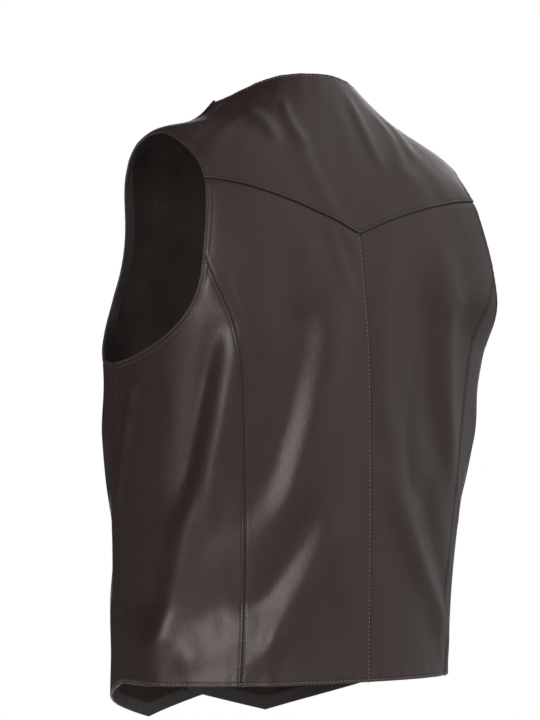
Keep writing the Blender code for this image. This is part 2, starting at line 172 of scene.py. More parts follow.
def front_angle_at(level, breadth):
    """The angle in front of the shoulder where a ring has a half breadth, by halving."""
    low = np.full(level.shape, SHOULDER_ANGLE)
    high = np.full(level.shape, FRONT_ANGLE + SEARCH_PAST_FRONT)
    for _ in range(HALVINGS):
        middle = (low + high) / 2
        wider = form(middle, level)[..., 0] > breadth
        low, high = np.where(wider, middle, low), np.where(wider, high, middle)
    return (low + high) / 2


# %% Notches of the armhole and of the side-back seam
Notch = namedtuple("Notch", "name angle height")
ARMHOLE = (
    Notch("tip", 90.0, -0.088),
    Notch("back_top", 68.0, -0.092),
    Notch("shoulder", 54.5, -0.111),
    Notch("yoke", 48.0, -0.136),
    Notch("blade", 46.5, -0.168),
    Notch("seam", 46.5, -0.204),
    Notch("low_back", 50.0, -0.248),
    Notch("back_turn", 68.0, -0.288),
    Notch("underarm", 98.0, -0.303),
    Notch("front_turn", 118.0, -0.291),
    Notch("low_front", 131.0, -0.254),
    Notch("front", 135.0, -0.197),
    Notch("front_top", 120.0, -0.131),
    Notch("tip", 90.0, -0.088),
)
ARMHOLE_ROW = {notch.name: row for row, notch in reversed(list(enumerate(ARMHOLE)))}
YOKE_SIDE = ARMHOLE[ARMHOLE_ROW["yoke"]]
UNDERARM = ARMHOLE[ARMHOLE_ROW["underarm"]]
TIP_LEVEL = float(level_at(SHOULDER_ANGLE, ARMHOLE[0].height))
SIDE_BACK_SEAM = (
    Notch("hem", 43.5, HEM_HEIGHT),
    Notch("waist", 42.0, -0.500),
    Notch("midriff", 40.5, -0.400),
    Notch("chest", 39.2, -0.315),
    Notch("sweep", 40.5, -0.258),
    Notch("armhole", 46.5, ARMHOLE[ARMHOLE_ROW["seam"]].height),
)
SIDE_BACK_ANGLE = SIDE_BACK_SEAM[0].angle

# The armhole runs smoothly through the tip, so the rows on both sides of it are repeated past the
# table's ends
WRAP = 2
ARMHOLE_VALUES = np.array([notch[1:] for notch in ARMHOLE[-1 - WRAP:-1] + ARMHOLE + ARMHOLE[1:1 + WRAP]])
ARMHOLE_BENDS = natural_spline(ARMHOLE_VALUES)
SEAM_VALUES = np.array([notch[1:] for notch in SIDE_BACK_SEAM])
SEAM_BENDS = natural_spline(SEAM_VALUES)


def armhole(start, end):
    """The armhole's edge between two of its named notches."""
    first = ARMHOLE_ROW[start]
    last = len(ARMHOLE) - 1 if end == "front_tip" else ARMHOLE_ROW[end]

    def line(t):
        places = smooth_row(ARMHOLE_VALUES, ARMHOLE_BENDS, WRAP + first + (last - first) * t)
        return at_height(places[..., 0], places[..., 1])

    return line


def side_back_seam(t):
    places = smooth_row(SEAM_VALUES, SEAM_BENDS, (len(SIDE_BACK_SEAM) - 1) * t)
    return at_height(places[..., 0], places[..., 1])


# %% Straight seams and hems
def centre_back(t):
    return at_height(0 * t, HEM_HEIGHT + (YOKE_POINT_HEIGHT - HEM_HEIGHT) * t)


def yoke_centre(t):
    point_level = level_at(0.0, YOKE_POINT_HEIGHT)
    return np.stack([0 * t, point_level + (NECK_LEVEL - point_level) * t], axis=-1)


def yoke_seam(t):
    """From the yoke's point out to the armhole, steep at first and flat at the side."""
    rise = 1 - (1 - t) ** YOKE_SEAM_POWER
    return at_height(YOKE_SIDE.angle * t, YOKE_POINT_HEIGHT + (YOKE_SIDE.height - YOKE_POINT_HEIGHT) * rise)


def side_seam(t):
    return at_height(UNDERARM.angle + 0 * t, HEM_HEIGHT + (UNDERARM.height - HEM_HEIGHT) * t)


def shoulder_seam(t):
    """From the neck out to the shoulder tip."""
    return np.stack([SHOULDER_ANGLE + 0 * t, NECK_LEVEL + (TIP_LEVEL - NECK_LEVEL) * t], axis=-1)


def back_neck(lift):
    """The back neckline; a lift raises it, in levels, half way out to the shoulder seam."""
    def line(t):
        return np.stack([SHOULDER_ANGLE * t, NECK_LEVEL + lift * np.sin(math.pi * t) ** 2], axis=-1)

    return line


def hem(start_angle, end_angle):
    return lambda t: at_height(start_angle + (end_angle - start_angle) * t, HEM_HEIGHT)


# %% Lines of the front
def front_edge_angle(height):
    """Angle of the lapped front edge, past the centre front."""
    reach = form(FRONT_ANGLE, level_at(FRONT_ANGLE, height))[..., 1]
    return FRONT_ANGLE + np.degrees(np.arctan2(FRONT_OVERLAP, np.abs(reach)))


def front_hem_inner(t):
    """From the lapped edge out to the front's point."""
    edge_height = HEM_HEIGHT - FRONT_EDGE_DROP
    edge_angle = front_edge_angle(edge_height)
    point_height = HEM_HEIGHT - FRONT_POINT_DROP
    return at_height(
        edge_angle + (FRONT_POINT_ANGLE - edge_angle) * t, edge_height + (point_height - edge_height) * t
    )


def front_hem_outer(t):
    """From the front's point out to the side seam."""
    point_height = HEM_HEIGHT - FRONT_POINT_DROP
    return at_height(
        FRONT_POINT_ANGLE + (UNDERARM.angle - FRONT_POINT_ANGLE) * t, point_height + FRONT_POINT_DROP * t
    )


def front_edge(t):
    """The lapped edge from the hem up to where the neckline breaks."""
    low = HEM_HEIGHT - FRONT_EDGE_DROP
    height = low + (NECK_BREAK_HEIGHT - low) * t
    return at_height(front_edge_angle(height), height)


def front_neck(t):
    """The V neckline from the lapped edge up to the shoulder seam, straight when seen from the front."""
    neck = form(SHOULDER_ANGLE, NECK_LEVEL)
    edge_angle = front_edge_angle(NECK_BREAK_HEIGHT)
    edge = form(edge_angle, level_at(edge_angle, NECK_BREAK_HEIGHT))
    breadth = edge[0] + (neck[0] - edge[0]) * t
    height = edge[2] + (neck[2] - edge[2]) * t
    angle = edge_angle + (SHOULDER_ANGLE - edge_angle) * t
    for _ in range(NECKLINE_ROUNDS):
        angle = (angle + front_angle_at(level_at(angle, height), breadth)) / 2
    return at_height(angle, height)


print("seam lines: armhole", len(ARMHOLE), "notches, side-back seam", len(SIDE_BACK_SEAM), "notches")

# %% [markdown]
# ## Folds and creases
# Leather is stiff, so a worn vest hangs in a few long rolls from the yoke and the armholes to the
# hem, with finer creases where it is pulled. A cloth simulation would put them anywhere, so each
# fold is given one by one: two ends, a sideways bow, a half width and a rise. The large folds are
# those of the solids. The fine creases and a faint ripple, which breaks up the gloss as real hide
# does, are added here.

# %% Tables of folds and creases
# One degree round the form stands for this much girth where folds are laid out
GIRTH_PER_DEGREE = 0.0030
FOLD_FADE = 0.35
FOLD_END = 0.3

# Ends as girth from the centre back (the vest's left is positive) and height; a negative rise is a
# trough
Fold = namedtuple("Fold", "name girth_a height_a girth_b height_b bow half_width rise")
FOLDS = (
    Fold("right_blade", -0.165, -0.115, -0.138, -0.270, 0.000, 0.050, 0.011),
    Fold("left_back_ridge", 0.026, -0.220, 0.100, -0.485, -0.009, 0.017, 0.007),
    Fold("left_back_hollow", 0.056, -0.225, 0.122, -0.465, -0.009, 0.017, -0.007),
    Fold("left_hem_ridge", 0.036, -0.444, 0.118, -0.596, -0.007, 0.014, 0.006),
    Fold("left_hem_hollow", 0.058, -0.436, 0.128, -0.550, -0.006, 0.013, -0.005),
    Fold("left_hem_ridge_end", 0.101, -0.548, 0.098, -0.650, 0.000, 0.013, 0.0032),
    Fold("left_hem_corner", 0.224, -0.545, 0.226, -0.660, 0.000, 0.036, 0.008),
    Fold("left_hem_tuck", 0.116, -0.522, 0.198, -0.560, 0.000, 0.026, -0.005),
    Fold("left_hem_flare", 0.060, -0.640, 0.250, -0.640, 0.000, 0.046, 0.007),
    Fold("left_side_ridge", 0.108, -0.262, 0.166, -0.455, 0.000, 0.012, 0.006),
    Fold("left_side_valley", 0.140, -0.285, 0.198, -0.460, 0.000, 0.018, -0.0035),
    Fold("left_side_drape", 0.172, -0.420, 0.226, -0.605, 0.000, 0.018, 0.007),
    Fold("right_back_ridge", -0.082, -0.190, -0.108, -0.415, 0.012, 0.013, 0.006),
    Fold("right_back_valley", -0.056, -0.205, -0.078, -0.400, 0.008, 0.016, -0.003),
    Fold("right_hem_ridge", -0.020, -0.400, -0.140, -0.585, 0.015, 0.016, 0.005),
    Fold("right_hem_valley", -0.062, -0.420, -0.135, -0.545, 0.010, 0.016, -0.004),
    Fold("right_side_ridge", -0.150, -0.330, -0.235, -0.520, -0.008, 0.016, 0.005),
    Fold("left_front_ridge", 0.335, -0.330, 0.430, -0.500, -0.008, 0.018, 0.005),
    Fold("left_front_drape", 0.450, -0.360, 0.360, -0.570, 0.010, 0.022, 0.005),
    Fold("right_front_ridge", -0.345, -0.350, -0.425, -0.530, 0.008, 0.018, 0.005),
    Fold("right_front_drape", -0.440, -0.330, -0.370, -0.600, -0.008, 0.022, 0.004),
)
# Fills and joins soften the hollows of the large folds; streaks are the faint upright bands of the
# back
CREASES = (
    Fold("yoke_left_inner", 0.080, -0.044, 0.044, -0.096, 0.002, 0.007, 0.0020),
    Fold("yoke_left_long", 0.050, -0.084, 0.016, -0.178, 0.004, 0.009, 0.0019),
    Fold("yoke_left_middle", 0.142, -0.056, 0.076, -0.094, -0.008, 0.007, 0.0019),
    Fold("yoke_left_outer", 0.228, -0.047, 0.156, -0.053, 0.000, 0.007, 0.0018),
    Fold("yoke_left_neck", 0.178, -0.034, 0.116, -0.036, 0.000, 0.005, 0.0010),
    Fold("yoke_right_inner", -0.052, -0.038, -0.042, -0.116, 0.004, 0.008, 0.0016),
    Fold("yoke_right_middle", -0.094, -0.052, -0.057, -0.120, -0.004, 0.008, 0.0016),
    Fold("yoke_right_outer", -0.126, -0.056, -0.092, -0.094, 0.000, 0.007, 0.0014),
    Fold("yoke_right_blade", -0.078, -0.108, -0.080, -0.156, 0.000, 0.013, 0.0012),
    Fold("left_blade_streak", 0.090, -0.186, 0.096, -0.300, 0.000, 0.011, 0.0018),
    Fold("left_middle_streak", 0.052, -0.184, 0.060, -0.262, 0.000, 0.010, 0.0018),
    Fold("left_of_point", 0.032, -0.164, 0.013, -0.244, 0.001, 0.006, 0.0016),
    Fold("beside_point", 0.015, -0.172, 0.003, -0.210, 0.000, 0.004, 0.0009),
    Fold("left_roll_fill", 0.098, -0.385, 0.116, -0.480, 0.000, 0.012, 0.0016),
    Fold("left_centre_streak", 0.026, -0.400, 0.034, -0.545, 0.000, 0.011, 0.0018),
    Fold("right_centre_streak", -0.034, -0.186, -0.026, -0.400, 0.018, 0.012, 0.0028),
    Fold("right_centre_edge", -0.052, -0.290, -0.048, -0.440, 0.008, 0.006, -0.0014),
    Fold("below_left_armhole", 0.137, -0.226, 0.122, -0.272, 0.000, 0.012, 0.0018),
    Fold("left_seam_tuck", 0.112, -0.225, 0.104, -0.262, 0.002, 0.005, 0.0008),
    Fold("right_seam_tuck", -0.086, -0.224, -0.094, -0.248, 0.000, 0.005, 0.0009),
    Fold("left_side_crest", 0.121, -0.266, 0.179, -0.455, 0.000, 0.008, 0.0022),
    Fold("left_side_fall", 0.137, -0.280, 0.194, -0.455, 0.000, 0.009, -0.0018),
    Fold("left_waist_roll", 0.134, -0.405, 0.162, -0.470, 0.004, 0.008, 0.0012),
    Fold("left_hem_swag", 0.120, -0.572, 0.212, -0.590, 0.000, 0.010, 0.0004),
    Fold("left_hem_fill", 0.186, -0.526, 0.182, -0.604, 0.000, 0.015, 0.0025),
    Fold("left_hem_join", 0.123, -0.535, 0.121, -0.605, 0.000, 0.010, 0.0013),
    Fold("left_hem_roll", 0.152, -0.598, 0.146, -0.640, 0.000, 0.008, 0.0002),
    Fold("left_hem_roll_back", 0.126, -0.600, 0.130, -0.640, 0.000, 0.008, 0.0002),
    Fold("left_hem_roll_side", 0.180, -0.600, 0.186, -0.640, 0.000, 0.009, 0.0002),
    Fold("right_waist_roll", -0.122, -0.410, -0.150, -0.470, -0.004, 0.008, 0.0012),
    Fold("right_hem_roll", -0.178, -0.545, -0.190, -0.602, -0.003, 0.008, 0.0012),
    Fold("right_hem_crease", -0.100, -0.556, -0.118, -0.600, 0.002, 0.006, 0.0009),
    Fold("left_underarm", 0.235, -0.318, 0.270, -0.372, 0.004, 0.009, 0.0016),
    Fold("left_underarm_low", 0.250, -0.350, 0.300, -0.440, 0.005, 0.010, 0.0016),
    Fold("right_underarm", -0.235, -0.320, -0.272, -0.380, -0.004, 0.009, 0.0016),
    Fold("right_underarm_low", -0.262, -0.352, -0.312, -0.450, -0.005, 0.010, 0.0016),
    Fold("left_chest_upper", 0.405, -0.225, 0.440, -0.290, 0.004, 0.009, 0.0012),
    Fold("left_chest_lower", 0.392, -0.268, 0.448, -0.345, 0.004, 0.010, 0.0014),
    Fold("right_chest_upper", -0.400, -0.215, -0.436, -0.285, -0.004, 0.009, 0.0012),
    Fold("right_chest_lower", -0.388, -0.272, -0.440, -0.352, -0.004, 0.010, 0.0014),
    Fold("left_front_hem", 0.400, -0.560, 0.422, -0.636, 0.003, 0.009, 0.0012),
    Fold("right_front_hem", -0.396, -0.552, -0.414, -0.632, -0.003, 0.009, 0.0012),
    Fold("left_shoulder_front", 0.300, -0.118, 0.350, -0.140, 0.002, 0.007, 0.0010),
    Fold("right_shoulder_front", -0.304, -0.120, -0.352, -0.146, -0.002, 0.007, 0.0010),
)


def fold_rise(table, girth, height):
    """How far the folds of a table lift the leather off the form."""
    total = np.zeros(np.broadcast(girth, height).shape)
    for fold in table:
        across = np.array([fold.girth_b - fold.girth_a, fold.height_b - fold.height_a])
        length = np.hypot(*across)
        run = across / length
        along = ((girth - fold.girth_a) * run[0] + (height - fold.height_a) * run[1]) / length
        off = (height - fold.height_a) * run[0] - (girth - fold.girth_a) * run[1]
        off = off - fold.bow * np.clip(4 * along * (1 - along), 0, None)
        ends = np.clip(np.minimum(along, 1 - along) / FOLD_FADE + FOLD_END, 0, 1)
        taper = ends ** 2 * (3 - 2 * ends)
        total += fold.rise * taper * np.exp(-(off / fold.half_width) ** 2)
    return total


# %% A faint ripple over the whole hide
RIPPLE_SEED = 11
RIPPLE_COUNT = 16
RIPPLE_LENGTHS = (0.022, 0.060)
RIPPLE_LEAN = 14.0
RIPPLE_HEIGHT = 0.18 * MM
draw = np.random.default_rng(RIPPLE_SEED)
RIPPLE_TURNS = np.radians(draw.uniform(-RIPPLE_LEAN, RIPPLE_LEAN, RIPPLE_COUNT))
RIPPLE_WAVES = draw.uniform(*RIPPLE_LENGTHS, RIPPLE_COUNT)
RIPPLE_STARTS = draw.uniform(0, 2 * math.pi, RIPPLE_COUNT)


def ripple(girth, height):
    """A sum of soft waves that hang nearly upright, the same at every run."""
    total = np.zeros(np.broadcast(girth, height).shape)
    for turn, wave, start in zip(RIPPLE_TURNS, RIPPLE_WAVES, RIPPLE_STARTS):
        total += np.sin(2 * math.pi * (girth * np.cos(turn) + height * np.sin(turn)) / wave + start)
    return RIPPLE_HEIGHT * total / math.sqrt(RIPPLE_COUNT)


print(f"{len(FOLDS)} large folds, {len(CREASES)} creases, ripple of {RIPPLE_HEIGHT / MM:.2f} mm")

# %% [markdown]
# ## The leather on the form
# A point of the leather is a point of the form, lifted square to it by the folds. The left front
# lies over the right one, so it stands off by a wall and a hair where they lap, and there both stay
# smooth so that they don't touch. The worn pose then turns and tilts each ring a little.

# %% Points of the leather
LAP_GAP = 0.5 * MM
OVERLAP_RISE = WALL + LAP_GAP
OVERLAP_FLAT = 0.055
OVERLAP_RAMP = 0.060
ANGLE_STEP = 0.1
LEVEL_STEP = 0.01


def lap_share(angle, level):
    """1 in the lapped strip of the fronts, falling to 0 beside it and at the back."""
    off_edge = np.abs(form(angle, level)[..., 0])
    share = np.clip((OVERLAP_FLAT + OVERLAP_RAMP - off_edge) / OVERLAP_RAMP, 0, 1)
    return np.where(angle > SHOULDER_ANGLE, share ** 2 * (3 - 2 * share), 0)


def slope(surface, angle, level):
    """Unit vectors square to a surface, from its steps around and up."""
    around = surface(angle + ANGLE_STEP, level) - surface(angle - ANGLE_STEP, level)
    up = surface(angle, level + LEVEL_STEP) - surface(angle, level - LEVEL_STEP)
    out = np.cross(up, around)
    return out / np.linalg.norm(out, axis=-1, keepdims=True)


def leather(angle, level, side, lapped=False):
    """Outer points of the leather and its outward directions, on the left (side 1) or right (side -1)."""
    def points(an, le):
        place = form(an, le)
        girth = side * an * GIRTH_PER_DEGREE
        lap = lap_share(an, le)
        fine = fold_rise(CREASES, girth, place[..., 2]) + ripple(girth, place[..., 2])
        rise = fold_rise(FOLDS, girth, place[..., 2]) + (1 - lap) * fine
        if lapped:
            rise = rise + OVERLAP_RISE * lap
        x, y, z = np.moveaxis((place + rise[..., None] * slope(form, an, le)) * (side, 1, 1), -1, 0)
        turn, tilt = np.radians(ring_at(le)[-2:])
        sine, cosine = np.sin(turn), np.cos(turn)
        return np.stack([x * cosine - y * sine, x * sine + y * cosine, z + x * np.tan(tilt)], axis=-1)

    return points(angle, level), side * slope(points, angle, level)


# %% [markdown]
# ## Edge finishes
# A leather edge is never just cut: hems, necks and armholes are turned in and topstitched, so they
# are thick and rounded with a groove at the stitches, and sewn seams roll down into a ditch. The
# yoke is lapped over the back panels. A small table says how the surface rises and falls with the
# distance from each kind of edge. Modelling it, and not only painting it, keeps these ridges in the
# shaded edge and in the outline.

# %% Table of edge finishes
# Relief is (distance from the edge, rise) in mm; shift moves the whole wall at the edge; rounding
# is the radius of the outer corner; stitch is the distance of the row of stitches; a pucker is a
# ripple along the edge, with its wave, its reach inwards and, where it fades from the edge's lower
# end, its run in metres; turn and turn_width are the thickness and width of the strip turned in; a
# free edge is no seam.
Finish = namedtuple(
    "Finish", "relief shift rounding stitch thread pucker wave reach run turn turn_width free"
)
NO_STITCH = 0.0
WHOLE_EDGE = 0.0
FINISHES = {
    "hem": Finish(
        ((0.0, 0.0), (1.2, 0.12), (2.4, -0.28), (4.4, 0.08), (9.0, 0.0)),
        0.0, 1.0, 2.4, "tan", 0.24, 15.0, 10.0, WHOLE_EDGE, 0.5, 14.0, True,
    ),
    "armhole": Finish(
        ((0.0, 0.0), (1.1, 0.10), (2.7, -0.35), (4.5, 0.22), (6.6, -0.28), (10.0, 0.0)),
        0.0, 1.0, 2.7, "brown", 0.08, 9.0, 5.0, WHOLE_EDGE, 0.5, 10.0, True,
    ),
    "neck": Finish(
        ((0.0, 0.0), (1.1, 0.15), (2.8, -0.35), (5.0, 0.06), (8.0, 0.0)),
        0.0, 1.0, 2.8, "tan", 0.08, 9.0, 5.0, WHOLE_EDGE, 0.5, 10.0, True,
    ),
    "front_edge": Finish(
        ((0.0, 0.0), (2.0, 0.12), (4.5, -0.25), (7.0, 0.06), (11.0, 0.0)),
        0.0, 1.0, 4.5, "tan", 0.08, 12.0, 7.0, WHOLE_EDGE, 0.2, 14.0, True,
    ),
    "yoke_edge": Finish(
        ((0.0, 0.0), (1.8, 0.15), (3.5, -0.38), (5.6, 0.05), (9.0, 0.0)),
        0.45, 0.8, 3.5, "brown", 0.06, 11.0, 6.0, WHOLE_EDGE, 0.3, 9.0, False,
    ),
    "under_yoke": Finish(
        ((0.0, -0.15), (3.0, 0.0)),
        -0.75, 0.2, NO_STITCH, "brown", 0.08, 11.0, 6.0, WHOLE_EDGE, 0.3, 9.0, False,
    ),
    "seam_stitched": Finish(
        ((0.0, -0.15), (0.8, 0.04), (1.6, -0.18), (3.2, 0.06), (7.0, 0.0)),
        0.05, 0.5, 1.6, "brown", 0.22, 4.1, 5.0, 0.16, 0.4, 9.0, False,
    ),
    "centre_stitched": Finish(
        ((0.0, -0.15), (1.4, -0.10), (3.2, 0.06), (7.0, 0.0)),
        0.05, 0.5, 1.4, "tan", 0.10, 4.1, 5.0, 0.16, 0.4, 9.0, False,
    ),
    "seam_under": Finish(
        ((0.0, -0.25), (3.0, 0.05), (6.0, 0.0)),
        -0.15, 0.5, NO_STITCH, "tan", 0.22, 4.1, 5.0, 0.16, 0.4, 9.0, False,
    ),
    "seam_twin": Finish(
        ((0.0, -0.25), (1.4, 0.03), (2.6, -0.16), (4.2, 0.04), (7.0, 0.0)),
        -0.15, 0.5, 2.6, "brown", 0.22, 4.1, 5.0, 0.16, 0.4, 9.0, False,
    ),
    "seam_plain": Finish(
        ((0.0, -0.20), (2.5, 0.06), (6.0, 0.0)),
        0.0, 0.5, NO_STITCH, "brown", 0.08, 8.0, 6.0, WHOLE_EDGE, 0.4, 9.0, False,
    ),
}
SHIFT_REACH = 7.0 * MM
ROUND_DEPTH = 0.85


def relief_at(relief, distance):
    """Rise at distances from an edge, easing in and out between the rows of its relief."""
    steps = np.array(relief) * MM
    row = np.clip(np.searchsorted(steps[:, 0], distance, side="right") - 1, 0, len(steps) - 2)
    share = np.clip((distance - steps[row, 0]) / (steps[row + 1, 0] - steps[row, 0]), 0, 1)
    ease = share ** 2 * (3 - 2 * share)
    return steps[row, 1] * (1 - ease) + steps[row + 1, 1] * ease


def round_over(distance, radius):
    """How far a skin falls towards the middle of the wall just before an edge."""
    short = np.clip(1 - distance / radius, 0, 1)
    return -ROUND_DEPTH * radius * (1 - np.sqrt(1 - short ** 2))


print("edge finishes:", ", ".join(FINISHES))

# %% [markdown]
# ## Cutting a panel
# Each panel is a grid of places between four seam lines (a Coons patch), so its rows run along its
# seams. The rows close up near the edges, to a quarter of a millimetre, because that is where
# ridges and stitches are, and stay wide apart in the middle. A subdivided solid would spend its
# faces evenly and blur the edges.

# %% Grids between seam lines
GRID_STEP = 2.4 * MM
EDGE_STEPS = np.array([0, 0.25, 0.55, 0.9, 1.35, 1.9, 2.6, 3.4, 4.3, 5.3, 6.5, 8.0, 10.0]) * MM
SEAM_SAMPLES = 161
Edge = namedtuple("Edge", "finish i j inward")


def runs_of(line):
    """Samples of a seam line and how far along it each lies on the form."""
    share = np.linspace(0, 1, SEAM_SAMPLES)
    places = line(share)
    steps = np.linalg.norm(np.diff(form(places[:, 0], places[:, 1]), axis=0), axis=1)
    return share, np.concatenate([[0], np.cumsum(steps)])


def shares_along(length, fine_start=True):
    """Shares from 0 to 1 that close up at the end, and at the start if it is an edge too."""
    first = EDGE_STEPS if fine_start else np.zeros(1)
    low, high = first[-1], length - EDGE_STEPS[-1]
    middle = np.linspace(low, high, max(2, round((high - low) / GRID_STEP)))
    return np.concatenate([first[:-1], middle, length - EDGE_STEPS[-2::-1]]) / length


def spread(lines, shares):
    """Places along joined lines at shares of their whole length, and each line's first and last place."""
    samples = [runs_of(line) for line in lines]
    ends = np.cumsum([run[-1] for _, run in samples])
    at = shares * ends[-1]
    joins = [int(np.argmin(np.abs(at - end))) for end in ends[:-1]]
    at[joins] = ends[:-1]
    stops = [0, *joins, len(at) - 1]
    places = np.empty((len(at), 2))
    for line, (share, run), end, first, last in zip(lines, samples, ends, stops[:-1], stops[1:]):
        mine = slice(first, last + 1)
        places[mine] = line(np.interp(at[mine] - (end - run[-1]), run, share))
    return places, list(zip(stops[:-1], stops[1:]))


def cut_panel(bottom, top, inner, outer, inner_is_edge=True):
    """Grid of places between four sides, each a list of (line, finish), and its edges."""
    def longest(*sides):
        return max(sum(runs_of(line)[1][-1] for line, _ in side) for side in sides)

    across = shares_along(longest(bottom, top), inner_is_edge)
    up = shares_along(longest(inner, outer))
    sides, edges = [], []
    for number, (side, shares) in enumerate(((bottom, across), (top, across), (inner, up), (outer, up))):
        places, spans = spread([line for line, _ in side], shares)
        sides.append(places)
        for (_, finish), (first, last) in zip(side, spans):
            along = np.arange(first, last + 1)
            fixed = np.full_like(along, (0, len(up) - 1, 0, len(across) - 1)[number])
            inward = ((0, 1), (0, -1), (1, 0), (-1, 0))[number]
            i, j = (along, fixed) if number < 2 else (fixed, along)
            edges.append(Edge(finish, i, j, inward))
    if not inner_is_edge:
        edges = [edge for edge in edges if edge.inward != (1, 0)]
    low, high, left, right = sides
    s, t = across[:, None, None], up[None, :, None]
    corners = (1 - t) * ((1 - s) * low[0] + s * low[-1]) + t * ((1 - s) * high[0] + s * high[-1])
    return (1 - t) * low[:, None] + t * high[:, None] + (1 - s) * left + s * right - corners, edges


# %% [markdown]
# ## From a grid to a sewn panel
# For every point of the grid the nearest place on each edge is looked up in a k-d tree, which gives
# the distance and how far along the edge it lies. The relief, the puckers and the turned strip
# follow from those two numbers. The inner skin is the outer one moved in by the wall, and both
# round over to meet at the rim, so a panel is closed.

# %% Distances from the edges
EDGE_SAMPLE = 0.4 * MM
PATCH_RUN = 31 * MM
WOBBLE_RUN = 17 * MM
PATCH_MEAN, PATCH_SWING = 0.55, 0.45
WOBBLE_TURN = 1.4


def measure_from(points, line):
    """Each point's distance from an edge line, and how far along the line it lies."""
    steps = np.linalg.norm(np.diff(line, axis=0), axis=1)
    run = np.concatenate([[0], np.cumsum(steps)])
    fine = np.linspace(0, run[-1], max(2, round(run[-1] / EDGE_SAMPLE)))
    dense = np.stack([np.interp(fine, run, line[:, axis]) for axis in range(3)], axis=-1)
    tree = KDTree(len(dense))
    for number, place in enumerate(dense):
        tree.insert(place, number)
    tree.balance()
    flat = points.reshape(-1, 3)
    nearest = np.array([tree.find(place)[1] for place in flat])
    tangent = np.gradient(dense, axis=0)
    tangent /= np.linalg.norm(tangent, axis=1, keepdims=True)
    away = flat - dense[nearest]
    along = (away * tangent[nearest]).sum(axis=1)
    past_end = (nearest == 0) | (nearest == len(dense) - 1)
    square = np.linalg.norm(away - along[:, None] * tangent[nearest], axis=1)
    distance = np.where(past_end, np.linalg.norm(away, axis=1), square)
    return distance.reshape(points.shape[:2]), fine[nearest].reshape(points.shape[:2])


def pucker_at(finish, distance, run):
    """A patchy ripple along an edge that dies away from it."""
    patchy = PATCH_MEAN + PATCH_SWING * np.sin(run / PATCH_RUN + 1.0)
    wobble = WOBBLE_TURN * np.sin(run / WOBBLE_RUN)
    wave = np.sin(2 * math.pi * run / (finish.wave * MM) + wobble)
    lower_end = np.exp(-(run / finish.run) ** 2) if finish.run != WHOLE_EDGE else 1.0
    return finish.pucker * MM * patchy * lower_end * wave * np.exp(-distance / (finish.reach * MM))


# %% Skins of a panel
NO_EDGE = 1.0
Skins = namedtuple("Skins", "outer inner out free_edge seam groove")


def sew(points, out, edges):
    """Both skins with every edge finished, and distances from free edges, seams and rows of stitches."""
    shape = points.shape[:2]
    shift, raised, sunk, rounded, rounded_in, turned = (np.zeros(shape) for _ in range(6))
    free_edge, seam, groove = (np.full(shape, NO_EDGE) for _ in range(3))
    for edge in edges:
        finish = FINISHES[edge.finish]
        distance, run = measure_from(points, points[edge.i, edge.j])
        relief = relief_at(finish.relief, distance)
        raised, sunk = np.maximum(raised, relief), np.minimum(sunk, relief)
        corner = round_over(distance, finish.rounding * MM)
        rounded = np.minimum(rounded, corner)
        near = np.clip(1 - distance / SHIFT_REACH, 0, 1)
        shift = shift + finish.shift * MM * near ** 2 * (3 - 2 * near) + pucker_at(finish, distance, run)
        strip = np.clip((finish.turn_width * MM - distance) / MM, 0, 1)
        turned = np.maximum(turned, finish.turn * MM * strip)
        if finish.stitch != NO_STITCH:
            groove = np.minimum(groove, np.abs(distance - finish.stitch * MM))
        if finish.free:
            rounded_in = np.minimum(rounded_in, corner)
            free_edge = np.minimum(free_edge, distance)
        else:
            seam = np.minimum(seam, distance)
    outer = points + (shift + raised + sunk + rounded)[..., None] * out
    inner = points + (shift - WALL - turned - rounded_in)[..., None] * out
    return Skins(outer, inner, out, free_edge, seam, groove)


def panel_mesh(name, skins):
    """A closed mesh of both skins and the rim between them, with distances from the edges as attributes."""
    columns, rows = skins.outer.shape[:2]
    index = np.arange(columns * rows).reshape(columns, rows)
    corners = index[:-1, :-1], index[1:, :-1], index[1:, 1:], index[:-1, 1:]
    quads = np.stack(corners, axis=-1).reshape(-1, 4)
    rim = np.concatenate([index[:, 0], index[-1, 1:], index[-2::-1, -1], index[0, -2:0:-1]])
    after = np.roll(rim, -1)
    strip = np.stack([after, rim, rim + index.size, after + index.size], axis=-1)
    faces = np.concatenate([quads, strip, quads[:, ::-1] + index.size])
    middle = columns // 2, rows // 2
    across = skins.outer[middle[0] + 1, middle[1]] - skins.outer[middle]
    up = skins.outer[middle[0], middle[1] + 1] - skins.outer[middle]
    if np.dot(np.cross(across, up), skins.out[middle]) < 0:
        faces = faces[:, ::-1]
    mesh = bpy.data.meshes.new(name)
    points = np.concatenate([skins.outer.reshape(-1, 3), skins.inner.reshape(-1, 3)])
    mesh.from_pydata(points.tolist(), [], faces.tolist())
    for attribute, values in (
        ("free_edge_mm", skins.free_edge), ("seam_mm", skins.seam), ("groove_mm", skins.groove)
    ):
        layer = mesh.attributes.new(attribute, "FLOAT", "POINT")
        layer.data.foreach_set("value", np.tile(values.reshape(-1) / MM, 2).astype(np.float32))
    inside = np.zeros(len(faces), np.int32)
    inside[len(quads) + len(strip):] = 1
    mesh.polygons.foreach_set("material_index", inside)
    mesh.shade_smooth()
    return mesh


# %% [markdown]
# ## Materials
# Nappa is soft full-grain leather with a thin satin finish: almost black espresso brown here, with
# a broad soft gloss, faint clouds in the dye and a fine pebble. Photographs of leather would tile
# and fix the scale, so the materials are procedural, read the object's own coordinates in metres,
# and take pattern sizes in millimetres. Wear is placed by the distance from the edges that each
# panel carries, and so is the painted shade in seam ditches and stitch grooves.

# %% Helpers for materials
COLOUR_A, COLOUR_B, COLOUR_OUT = 6, 7, 2


def linear(hex_colour):
    """An sRGB hex colour as linear red, green, blue and alpha."""
    channels = [int(hex_colour[k:k + 2], 16) / 255 for k in (1, 3, 5)]
    return (*(c / 12.92 if c <= 0.04045 else ((c + 0.055) / 1.055) ** 2.4 for c in channels), 1.0)


